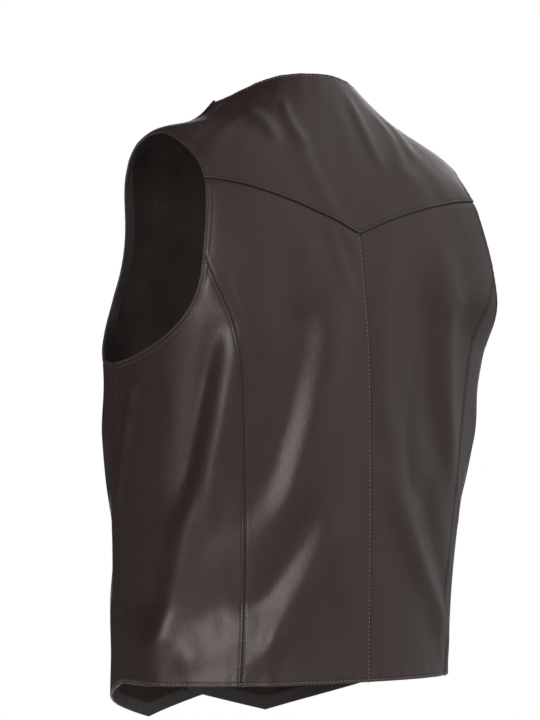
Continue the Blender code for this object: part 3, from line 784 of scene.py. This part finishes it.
def add_node(tree, kind, inputs=None, **settings):
    """Adds a node, sets its properties, and sets or links the inputs that are given."""
    node = tree.nodes.new(kind)
    for name, value in settings.items():
        setattr(node, name, value)
    for name, value in (inputs or {}).items():
        if isinstance(value, bpy.types.NodeSocket):
            tree.links.new(value, node.inputs[name])
        else:
            node.inputs[name].default_value = value
    return node


def new_material(name):
    """A material, its tree, its shader and the object's coordinates."""
    material = bpy.data.materials.new(name)
    material.use_nodes = True
    tree = material.node_tree
    place = add_node(tree, "ShaderNodeTexCoord").outputs["Object"]
    return material, tree, tree.nodes["Principled BSDF"], place


def per_metre(size_mm):
    """Texture scale of a pattern whose cells are this many millimetres wide."""
    return 1 / (size_mm * MM)


# %% Satin nappa, the grain side
# Full-grain calf dyed through and finished with a thin satin coat: the eye sees a broad soft
# highlight, a nearly black brown beneath it, and a pebble too fine to count. Real pores are 0.3 mm
# apart; 1.4 mm still shows here.
PEBBLE_MM = 1.4
PEBBLE_DEPTH = 0.15 * MM
CLOUD_MM = 55.0
WORN_PATCH_MM = 9.0
POLISH_MM = 24.0
FINE_CREASE_MM = 7.0
FINE_CREASE_DEPTH = 0.6 * MM
WEAR_WIDTH_MM = 2.2
WEAR_SHARE = 0.30
SATIN_ROUGHNESS = (0.36, 0.48)
# The satin coat is a little warm, which keeps the highlights from looking blue
COAT_TINT = "#fff6f3"
# Painted shade darkens the ditch of each seam, the yoke's lapped edge and the groove under each row of
# stitches
PaintedShadeLine = namedtuple("PaintedShadeLine", "attribute start_mm end_mm share")
PAINTED_SHADE_LINES = (PaintedShadeLine("seam_mm", 0.1, 1.1, 0.75), PaintedShadeLine("groove_mm", 0.2, 0.9, 0.7))
PAINTED_SHADE_COLOUR = "#0d0a09"


def nappa(name, dark, light, worn):
    material, tree, shader, place = new_material(name)
    cloud = add_node(
        tree, "ShaderNodeTexNoise", {"Vector": place, "Scale": per_metre(CLOUD_MM), "Detail": 3.0}
    )
    dye = add_node(
        tree,
        "ShaderNodeMix",
        {0: cloud.outputs["Fac"], COLOUR_A: linear(dark), COLOUR_B: linear(light)},
        data_type="RGBA",
    )
    edge = add_node(tree, "ShaderNodeAttribute", attribute_name="free_edge_mm")
    rubbed = add_node(
        tree,
        "ShaderNodeMapRange",
        {"Value": edge.outputs["Fac"], "From Max": WEAR_WIDTH_MM, "To Min": WEAR_SHARE, "To Max": 0.0},
    )
    patches = add_node(
        tree, "ShaderNodeTexNoise", {"Vector": place, "Scale": per_metre(WORN_PATCH_MM), "Detail": 2.0}
    )
    wear = add_node(
        tree,
        "ShaderNodeMath",
        {0: rubbed.outputs["Result"], 1: patches.outputs["Fac"]},
        operation="MULTIPLY",
    )
    colour = add_node(
        tree,
        "ShaderNodeMix",
        {0: wear.outputs["Value"], COLOUR_A: dye.outputs[COLOUR_OUT], COLOUR_B: linear(worn)},
        data_type="RGBA",
    )
    # Painted shade: the colour darkens towards each seam's ditch and each stitch groove
    for line in PAINTED_SHADE_LINES:
        distance = add_node(tree, "ShaderNodeAttribute", attribute_name=line.attribute)
        painted_shade_share = add_node(
            tree,
            "ShaderNodeMapRange",
            {
                "Value": distance.outputs["Fac"],
                "From Min": line.start_mm,
                "From Max": line.end_mm,
                "To Min": line.share,
                "To Max": 0.0,
            },
        )
        colour = add_node(
            tree,
            "ShaderNodeMix",
            {
                0: painted_shade_share.outputs["Result"],
                COLOUR_A: colour.outputs[COLOUR_OUT],
                COLOUR_B: linear(PAINTED_SHADE_COLOUR),
            },
            data_type="RGBA",
        )
    tree.links.new(colour.outputs[COLOUR_OUT], shader.inputs["Base Color"])
    polish = add_node(
        tree, "ShaderNodeTexNoise", {"Vector": place, "Scale": per_metre(POLISH_MM), "Detail": 4.0}
    )
    smoothest, dullest = SATIN_ROUGHNESS
    rough = add_node(
        tree,
        "ShaderNodeMapRange",
        {"Value": polish.outputs["Fac"], "To Min": smoothest, "To Max": dullest},
    )
    tree.links.new(rough.outputs["Result"], shader.inputs["Roughness"])
    shader.inputs["Specular Tint"].default_value = linear(COAT_TINT)
    pebble = add_node(
        tree, "ShaderNodeTexVoronoi", {"Vector": place, "Scale": per_metre(PEBBLE_MM)}, feature="SMOOTH_F1"
    )
    creases = add_node(
        tree,
        "ShaderNodeTexNoise",
        {"Vector": place, "Scale": per_metre(FINE_CREASE_MM), "Detail": 5.0, "Distortion": 0.6},
    )
    grain = add_node(
        tree,
        "ShaderNodeBump",
        {"Strength": 0.55, "Distance": PEBBLE_DEPTH, "Height": pebble.outputs["Distance"]},
    )
    surface = add_node(
        tree,
        "ShaderNodeBump",
        {
            "Strength": 0.30,
            "Distance": FINE_CREASE_DEPTH,
            "Height": creases.outputs["Fac"],
            "Normal": grain.outputs["Normal"],
        },
    )
    tree.links.new(surface.outputs["Normal"], shader.inputs["Normal"])
    return material


grain_side = nappa("satin_nappa_leather", dark="#2a1e1b", light="#332724", worn="#65574e")
print("material:", grain_side.name)

# %% Sueded flesh side, with the turned strips
# The inside of an unlined hide is short brushed fibre: dull, a little lighter, with no highlight.
# Along a free edge a strip of about 14 mm is the grain side, turned in: smoother and darker.
FIBRE_MM = 1.6
FIBRE_DEPTH = 0.25 * MM
BRUSHED_MM = 38.0
TURNED_MM = 13.5
TURNED_BLUR_MM = 0.6


def suede(name, dark, light, turned):
    material, tree, shader, place = new_material(name)
    nap = add_node(
        tree, "ShaderNodeTexNoise", {"Vector": place, "Scale": per_metre(FIBRE_MM), "Detail": 4.0}
    )
    brushed = add_node(
        tree, "ShaderNodeTexNoise", {"Vector": place, "Scale": per_metre(BRUSHED_MM), "Detail": 3.0}
    )
    shade = add_node(
        tree, "ShaderNodeMath", {0: nap.outputs["Fac"], 1: brushed.outputs["Fac"]}, operation="MULTIPLY"
    )
    spread_shade = add_node(
        tree, "ShaderNodeMapRange", {"Value": shade.outputs["Value"], "From Min": 0.12, "From Max": 0.40}
    )
    fibre = add_node(
        tree,
        "ShaderNodeMix",
        {0: spread_shade.outputs["Result"], COLOUR_A: linear(dark), COLOUR_B: linear(light)},
        data_type="RGBA",
    )
    edge = add_node(tree, "ShaderNodeAttribute", attribute_name="free_edge_mm")
    strip = add_node(
        tree,
        "ShaderNodeMapRange",
        {
            "Value": edge.outputs["Fac"],
            "From Min": TURNED_MM,
            "From Max": TURNED_MM + TURNED_BLUR_MM,
            "To Min": 1.0,
            "To Max": 0.0,
        },
    )
    colour = add_node(
        tree,
        "ShaderNodeMix",
        {0: strip.outputs["Result"], COLOUR_A: fibre.outputs[COLOUR_OUT], COLOUR_B: linear(turned)},
        data_type="RGBA",
    )
    tree.links.new(colour.outputs[COLOUR_OUT], shader.inputs["Base Color"])
    rough = add_node(
        tree, "ShaderNodeMapRange", {"Value": strip.outputs["Result"], "To Min": 0.95, "To Max": 0.45}
    )
    tree.links.new(rough.outputs["Result"], shader.inputs["Roughness"])
    bump = add_node(
        tree, "ShaderNodeBump", {"Strength": 0.5, "Distance": FIBRE_DEPTH, "Height": nap.outputs["Fac"]}
    )
    tree.links.new(bump.outputs["Normal"], shader.inputs["Normal"])
    return material


flesh_side = suede("sueded_flesh_side", dark="#1e1714", light="#382c26", turned="#2a221f")
print("material:", flesh_side.name)

# %% [markdown]
# ## The seven panels
# A maker cuts a yoke in one piece and the rest in pairs. Each panel here is one call: its four
# sides with the finish of each edge. The yoke's two halves are cut as one and joined at the centre
# back, where it has no seam. Every panel prints the flat size it was cut to, and takes the place of
# its solid.

# %% Outlines of the panels
def back_outline(topstitched):
    """A back panel; only one of the two has the row of stitches along the centre back."""
    return cut_panel(
        bottom=[(hem(0.0, SIDE_BACK_ANGLE), "hem")],
        top=[(yoke_seam, "under_yoke")],
        inner=[(centre_back, "centre_stitched" if topstitched else "seam_under")],
        outer=[(side_back_seam, "seam_stitched"), (armhole("seam", "yoke"), "armhole")],
    )


def side_back_outline():
    return cut_panel(
        bottom=[(hem(SIDE_BACK_ANGLE, UNDERARM.angle), "hem")],
        top=[(armhole("seam", "underarm"), "armhole")],
        inner=[(side_back_seam, "seam_twin")],
        outer=[(side_seam, "seam_plain")],
    )


def front_outline():
    return cut_panel(
        bottom=[(front_hem_inner, "hem"), (front_hem_outer, "hem")],
        top=[(shoulder_seam, "seam_plain")],
        inner=[(front_edge, "front_edge"), (front_neck, "neck")],
        outer=[(side_seam, "seam_plain"), (armhole("underarm", "front_tip"), "armhole")],
    )


def half_yoke_outline(neck_lift):
    return cut_panel(
        bottom=[(yoke_seam, "yoke_edge")],
        top=[(back_neck(neck_lift), "neck"), (shoulder_seam, "seam_plain")],
        inner=[(yoke_centre, "seam_plain")],
        outer=[(armhole("yoke", "tip"), "armhole")],
        inner_is_edge=False,
    )


# %% A finished panel
Panel = namedtuple("Panel", "piece points skins edges")


def flat_size(points):
    """Longest width and length along the grid, and the area, of a panel laid flat."""
    across, up = np.diff(points, axis=0), np.diff(points, axis=1)
    width = np.linalg.norm(across, axis=-1).sum(axis=0).max()
    length = np.linalg.norm(up, axis=-1).sum(axis=1).max()
    area = np.linalg.norm(np.cross(across[:, :-1], up[:-1]), axis=-1).sum()
    return float(width), float(length), float(area)


def make_panel(node, points, out, edges):
    """Sews a panel, prints its cut size and puts it in place of its solid."""
    skins = sew(points, out, edges)
    mesh = panel_mesh(f"{node}_panel", skins)
    mesh.materials.append(grain_side)
    mesh.materials.append(flesh_side)
    piece = bpy.data.objects.new(f"{node}_panel", mesh)
    bpy.context.scene.collection.objects.link(piece)
    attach(piece, "root")
    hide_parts(node)
    width, length, area = flat_size(points)
    print(f"{node}: {len(mesh.polygons)} faces, cut {width:.3f} x {length:.3f} m, {area:.4f} square metres")
    return Panel(piece, points, skins, edges)


# %% Yoke, backs, side backs and fronts
panels = {}
halves = []
yoke_edges = []
for side, neck_lift in ((-1, RIGHT_NECK_LIFT), (1, LEFT_NECK_LIFT)):
    places, half_edges = half_yoke_outline(neck_lift)
    halves.append(leather(places[..., 0], places[..., 1], side))
    middle = len(halves[0][0]) - 1
    for edge in half_edges:
        inward = (side * edge.inward[0], edge.inward[1])
        yoke_edges.append(Edge(edge.finish, middle + side * edge.i, edge.j, inward))
yoke_points, yoke_out = (np.concatenate([right[:0:-1], left]) for right, left in zip(*halves))
panels["yoke"] = make_panel("yoke", yoke_points, yoke_out, yoke_edges)

for side, hand in ((1, "left"), (-1, "right")):
    for kind, (places, edges), hangs_from in (
        ("back", back_outline(hand == "left"), "yoke_panel"),
        ("side_back", side_back_outline(), f"back_{hand}_panel"),
        ("front", front_outline(), "yoke_panel"),
    ):
        lapped = kind == "front" and hand == "left"
        points, out = leather(places[..., 0], places[..., 1], side, lapped)
        node = f"{kind}_{hand}"
        panels[node] = make_panel(node, points, out, edges)

# %% [markdown]
# ## Stitches
# Topstitching is a row of short thread loops, 4 mm apart, a few millimetres from the edge.
# Thousands of them are one small shape repeated along lines, which is what Geometry Nodes do best:
# lines become curves, curves are resampled at the stitch length, and a capsule of thread is set on
# each point along the line. The lines come from the panels' edges, moved in and laid on the sewn
# skin.

# %% Lines to sew along
STITCH_LIFT = 0.10 * MM


def stitch_line(panel, edge, tree):
    """The places of a row of stitches beside an edge, on the panel's outer skin."""
    line = panel.points[edge.i, edge.j]
    reach = len(EDGE_STEPS) - 1
    inside = panel.points[edge.i + reach * edge.inward[0], edge.j + reach * edge.inward[1]]
    tangent = np.gradient(line, axis=0)
    tangent /= np.linalg.norm(tangent, axis=1, keepdims=True)
    inward = inside - line
    inward -= (inward * tangent).sum(axis=1, keepdims=True) * tangent
    inward /= np.linalg.norm(inward, axis=1, keepdims=True)
    row = []
    for place in line + FINISHES[edge.finish].stitch * MM * inward:
        found, out, _, _ = tree.find_nearest(place)
        row.append(found + STITCH_LIFT * out)
    return row


def skin_tree(panel):
    """A search tree of the panel's faces."""
    mesh = panel.piece.data
    return BVHTree.FromPolygons([v.co for v in mesh.vertices], [p.vertices for p in mesh.polygons])


trees = {node: skin_tree(panel) for node, panel in panels.items()}
rows = {"tan": [], "brown": []}
for node, panel in panels.items():
    for edge in panel.edges:
        finish = FINISHES[edge.finish]
        if finish.stitch != NO_STITCH:
            rows[finish.thread].append(stitch_line(panel, edge, trees[node]))
print("rows of stitches:", {thread: len(lines) for thread, lines in rows.items()})

# %% Thread
# Bonded polyester thread: a twisted, slightly shiny filament. The twist is painted into the colour
# as fine uneven shade.
TWIST_MM = 0.9


def thread_material(name, colour, shadow):
    material, tree, shader, place = new_material(name)
    twist = add_node(
        tree, "ShaderNodeTexNoise", {"Vector": place, "Scale": per_metre(TWIST_MM), "Detail": 1.0}
    )
    # Painted shade of the twist, mixed towards the shadow colour by fine noise
    tint = add_node(
        tree,
        "ShaderNodeMix",
        {0: twist.outputs["Fac"], COLOUR_A: linear(shadow), COLOUR_B: linear(colour)},
        data_type="RGBA",
    )
    tree.links.new(tint.outputs[COLOUR_OUT], shader.inputs["Base Color"])
    shader.inputs["Roughness"].default_value = 0.55
    shader.inputs["Sheen Weight"].default_value = 0.2
    return material


# Tan and brown are one thread: tan has painted light, brown painted shade, for rows that look dark
threads = {
    "tan": thread_material("tan_thread_painted_lit", "#8f8277", "#554b44"),
    "brown": thread_material("brown_thread_painted_shaded", "#332924", "#1c1613"),
}

# %% Geometry nodes that sew a row
# The real thread is about 0.5 mm thick; 0.75 mm still shows in the picture
STITCH_SIZES = {"Pitch": 4.1 * MM, "Length": 3.0 * MM, "Thickness": 0.75 * MM}


def stitch_nodes(thread):
    """A node tree that turns loose edges into rows of stitches."""
    tree = bpy.data.node_groups.new("stitch_row", "GeometryNodeTree")
    tree.interface.new_socket("Geometry", in_out="INPUT", socket_type="NodeSocketGeometry")
    for name in STITCH_SIZES:
        tree.interface.new_socket(name, in_out="INPUT", socket_type="NodeSocketFloat")
    tree.interface.new_socket("Geometry", in_out="OUTPUT", socket_type="NodeSocketGeometry")
    given = add_node(tree, "NodeGroupInput").outputs
    curve = add_node(tree, "GeometryNodeMeshToCurve", {"Mesh": given["Geometry"]})
    even = add_node(
        tree,
        "GeometryNodeResampleCurve",
        {"Curve": curve.outputs["Curve"], "Length": given["Pitch"]},
        mode="LENGTH",
    )
    ball = add_node(tree, "GeometryNodeMeshUVSphere", {"Segments": 6, "Rings": 5, "Radius": 0.5})
    size = add_node(
        tree,
        "ShaderNodeCombineXYZ",
        {"X": given["Thickness"], "Y": given["Thickness"], "Z": given["Length"]},
    )
    loop = add_node(
        tree,
        "GeometryNodeTransform",
        {"Geometry": ball.outputs["Mesh"], "Scale": size.outputs["Vector"]},
    )
    tangent = add_node(tree, "GeometryNodeInputTangent")
    aim = add_node(
        tree, "FunctionNodeAlignRotationToVector", {"Vector": tangent.outputs["Tangent"]}, axis="Z"
    )
    sewn = add_node(
        tree,
        "GeometryNodeInstanceOnPoints",
        {
            "Points": even.outputs["Curve"],
            "Instance": loop.outputs["Geometry"],
            "Rotation": aim.outputs["Rotation"],
        },
    )
    real = add_node(tree, "GeometryNodeRealizeInstances", {"Geometry": sewn.outputs["Instances"]})
    smooth = add_node(tree, "GeometryNodeSetShadeSmooth", {"Geometry": real.outputs["Geometry"]})
    coloured = add_node(
        tree, "GeometryNodeSetMaterial", {"Geometry": smooth.outputs["Geometry"], "Material": thread}
    )
    add_node(tree, "NodeGroupOutput", {"Geometry": coloured.outputs["Geometry"]})
    return tree


def sew_rows(name, lines, thread):
    """One mesh of all the stitches of a thread."""
    points, links = [], []
    for line in lines:
        links += [(len(points) + k, len(points) + k + 1) for k in range(len(line) - 1)]
        points += line
    guide = bpy.data.meshes.new(f"{name}_lines")
    guide.from_pydata(points, links, [])
    carrier = bpy.data.objects.new(f"{name}_lines", guide)
    bpy.context.scene.collection.objects.link(carrier)
    sewing = carrier.modifiers.new("sewing", "NODES")
    sewing.node_group = stitch_nodes(thread)
    for socket in sewing.node_group.interface.items_tree:
        if socket.name in STITCH_SIZES:
            sewing[socket.identifier] = STITCH_SIZES[socket.name]
    evaluated = carrier.evaluated_get(bpy.context.evaluated_depsgraph_get())
    mesh = bpy.data.meshes.new_from_object(evaluated)
    mesh.name = name
    bpy.data.objects.remove(carrier)
    piece = bpy.data.objects.new(name, mesh)
    bpy.context.scene.collection.objects.link(piece)
    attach(piece, "root")
    print(f"{name}: {len(mesh.polygons)} faces")


for thread, lines in rows.items():
    sew_rows(f"{thread}_stitches", lines, threads[thread])

# %% [markdown]
# ## Snaps
# A snap cap is pressed from thin brass: a low dome with a rolled rim round a ring groove. It is
# turned on an axis, so its half profile is spun once round. The caps sit along the centre front on
# the lapped strip, where the solids have them.

# %% Antique brass
# Brass darkened in a bath and rubbed back: patches of dark and warmer metal, with a satin gloss.
TARNISH_MM = 2.5


def antique_brass(name, dark, bright):
    material, tree, shader, place = new_material(name)
    tarnish = add_node(
        tree, "ShaderNodeTexNoise", {"Vector": place, "Scale": per_metre(TARNISH_MM), "Detail": 5.0}
    )
    colour = add_node(
        tree,
        "ShaderNodeMix",
        {0: tarnish.outputs["Fac"], COLOUR_A: linear(dark), COLOUR_B: linear(bright)},
        data_type="RGBA",
    )
    tree.links.new(colour.outputs[COLOUR_OUT], shader.inputs["Base Color"])
    rough = add_node(
        tree, "ShaderNodeMapRange", {"Value": tarnish.outputs["Fac"], "To Min": 0.28, "To Max": 0.48}
    )
    tree.links.new(rough.outputs["Result"], shader.inputs["Roughness"])
    shader.inputs["Metallic"].default_value = 1.0
    return material


brass = antique_brass("antique_brass", dark="#4a3a24", bright="#9a7f55")

# %% Spun caps on the front
SNAP_COUNT = 4
SNAP_TOP = -0.335
SNAP_BOTTOM = -0.585
SNAP_SEGMENTS = 48
WELD = 0.005 * MM
# Half profile of the cap in mm, as radius and height, from the top of the dome to the middle of its
# base
SNAP_PROFILE = (
    (0.0, 3.00), (1.6, 2.94), (2.9, 2.74), (3.8, 2.40), (4.3, 2.02), (4.55, 1.72), (4.85, 1.70),
    (5.15, 1.86), (5.7, 1.80), (6.2, 1.42), (6.45, 0.85), (6.4, 0.35), (6.1, 0.05), (0.0, 0.05),
)


def snap_mesh(name, place, out):
    """A spun cap whose base lies on the leather at a place."""
    cap = bmesh.new()
    profile = [cap.verts.new((radius * MM, 0, height * MM)) for radius, height in SNAP_PROFILE]
    ring = [cap.edges.new(pair) for pair in zip(profile, profile[1:])]
    bmesh.ops.spin(
        cap,
        geom=profile + ring,
        cent=(0, 0, 0),
        axis=(0, 0, 1),
        angle=2 * math.pi,
        steps=SNAP_SEGMENTS,
        use_merge=True,
    )
    bmesh.ops.remove_doubles(cap, verts=cap.verts, dist=WELD)
    bmesh.ops.recalc_face_normals(cap, faces=cap.faces)
    seat = Matrix.Translation(place) @ out.to_track_quat("Z", "Y").to_matrix().to_4x4()
    bmesh.ops.transform(cap, matrix=seat, verts=cap.verts)
    mesh = bpy.data.meshes.new(name)
    cap.to_mesh(mesh)
    cap.free()
    mesh.shade_smooth()
    mesh.materials.append(brass)
    return mesh


heights = np.linspace(SNAP_TOP, SNAP_BOTTOM, SNAP_COUNT)
snap_row = at_height(FRONT_ANGLE + 0 * heights, heights)
snap_places, _ = leather(snap_row[:, 0], snap_row[:, 1], 1, lapped=True)
for number, place in enumerate(snap_places, start=1):
    seat, out, _, _ = trees["front_left"].find_nearest(place)
    snap = bpy.data.objects.new(f"snap_cap_{number}", snap_mesh(f"snap_cap_{number}", seat, out))
    bpy.context.scene.collection.objects.link(snap)
    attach(snap, "root")
    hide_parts(f"snap_{number}")
print(f"{SNAP_COUNT} snap caps")

# %% [markdown]
# ## Studio
# The vest is shown as for a catalogue: a white surround, soft boxes and a pale floor well below the
# hem. Dark satin leather shows little of its own colour. What the eye reads is the reflection of
# the lights, so their places matter more than their strength. A narrow, tall box left of the camera
# draws the rolls of the back, a weak one above right shapes the yoke, another lights the right
# shoulder, and one on the far side keeps the front from going black. The surround is dim on the
# left and bright on the right for what the leather reflects, and plain white where the camera looks
# past the vest.

# %% Floor and surround
FLOOR_HEIGHT = -1.42
FLOOR_HALF = 6.0
SURROUND_DIM, SURROUND_BRIGHT = 0.04, 1.0
BRIGHT_BEARING, BRIGHT_ELEVATION = -45.0, 15.0

floor_mesh = bpy.data.meshes.new("studio_floor")
floor_mesh.from_pydata(
    [(x * FLOOR_HALF, y * FLOOR_HALF, FLOOR_HEIGHT) for x, y in ((-1, -1), (1, -1), (1, 1), (-1, 1))],
    [],
    [(0, 1, 2, 3)],
)
floor = bpy.data.objects.new("studio_floor", floor_mesh)
bpy.context.scene.collection.objects.link(floor)
pale, _, pale_shader, _ = new_material("pale_studio_floor")
pale_shader.inputs["Base Color"].default_value = linear("#f2f1ef")
pale_shader.inputs["Roughness"].default_value = 0.9
floor_mesh.materials.append(pale)


def direction(bearing, elevation):
    """Unit vector towards a bearing and an elevation, both in degrees."""
    turn, rise = math.radians(bearing), math.radians(elevation)
    return Vector((math.sin(turn) * math.cos(rise), math.cos(turn) * math.cos(rise), math.sin(rise)))


world = bpy.data.worlds.new("white_studio")
world.use_nodes = True
bpy.context.scene.world = world
sky = world.node_tree
sky.nodes.clear()
ray = add_node(sky, "ShaderNodeTexCoord").outputs["Generated"]
facing = add_node(
    sky,
    "ShaderNodeVectorMath",
    {0: ray, 1: direction(BRIGHT_BEARING, BRIGHT_ELEVATION)},
    operation="DOT_PRODUCT",
)
strength = add_node(
    sky,
    "ShaderNodeMapRange",
    {"Value": facing.outputs["Value"], "To Min": SURROUND_DIM, "To Max": SURROUND_BRIGHT},
)
soft = add_node(
    sky, "ShaderNodeBackground", {"Color": linear("#ffffff"), "Strength": strength.outputs["Result"]}
)
bright = add_node(sky, "ShaderNodeBackground", {"Color": linear("#ffffff"), "Strength": 1.0})
path = add_node(sky, "ShaderNodeLightPath")
mixed = add_node(
    sky,
    "ShaderNodeMixShader",
    {0: path.outputs["Is Camera Ray"], 1: soft.outputs["Background"], 2: bright.outputs["Background"]},
)
add_node(sky, "ShaderNodeOutputWorld", {"Surface": mixed.outputs["Shader"]})

# %% Soft boxes
# Bearings are degrees from the centre back towards the vest's left; distances and sides are metres,
# powers watts
SoftBox = namedtuple("SoftBox", "name bearing elevation distance width height power")
SOFT_BOXES = (
    SoftBox("key", 57.0, 14.0, 2.6, 0.5, 1.8, 38.0),
    SoftBox("top_right", -95.0, 58.0, 2.6, 1.6, 1.6, 4.0),
    SoftBox("front_right", -120.0, 24.0, 3.0, 1.6, 1.6, 10.0),
    SoftBox("front", -147.0, 8.0, 3.0, 1.6, 1.6, 30.0),
)
LIT_POINT = Vector((0, 0, -0.32))


def aim_at(obj, target):
    """Turns a light or camera towards a point."""
    obj.rotation_mode = "QUATERNION"
    obj.rotation_quaternion = (target - obj.location).to_track_quat("-Z", "Y")


for box in SOFT_BOXES:
    data = bpy.data.lights.new(box.name, "AREA")
    data.shape = "RECTANGLE"
    data.size = box.width
    data.size_y = box.height
    data.energy = box.power
    lamp = bpy.data.objects.new(box.name, data)
    lamp.location = LIT_POINT + box.distance * direction(box.bearing, box.elevation)
    aim_at(lamp, LIT_POINT)
    lamp.visible_camera = False
    bpy.context.scene.collection.objects.link(lamp)
print(f"{len(SOFT_BOXES)} soft boxes")

# %% [markdown]
# ## Camera
# The picture is taken from behind, on the vest's left, from a little below the middle of the back.
# A 150 mm lens 3 m away keeps the panels nearly parallel. The aim point is set so that the vest
# sits in the frame where the photograph has it.

# %% Camera
CAMERA_AZIMUTH = math.radians(147.0)
CAMERA_ELEVATION = math.radians(-3.4)
CAMERA_DISTANCE = 3.0
CAMERA_LENS = 150.0
CAMERA_SENSOR = 36.0
AIM = Vector((0.0202, -0.0129, -0.2960))

lens = bpy.data.cameras.new("catalogue_camera")
lens.lens = CAMERA_LENS
lens.sensor_width = CAMERA_SENSOR
camera = bpy.data.objects.new("catalogue_camera", lens)
backward = Vector((
    math.sin(CAMERA_AZIMUTH) * math.cos(CAMERA_ELEVATION),
    -math.cos(CAMERA_AZIMUTH) * math.cos(CAMERA_ELEVATION),
    math.sin(CAMERA_ELEVATION),
))
camera.location = AIM + CAMERA_DISTANCE * backward
aim_at(camera, AIM)
bpy.context.scene.collection.objects.link(camera)
bpy.context.scene.camera = camera
bpy.context.scene.view_settings.view_transform = "Standard"
print("camera at", [round(v, 3) for v in camera.location])

# %% [markdown]
# ## The end
# The dressed vest has to stay in the box of its solids. The last line brings the scene up to date.

# %% The end
bpy.context.view_layer.update()
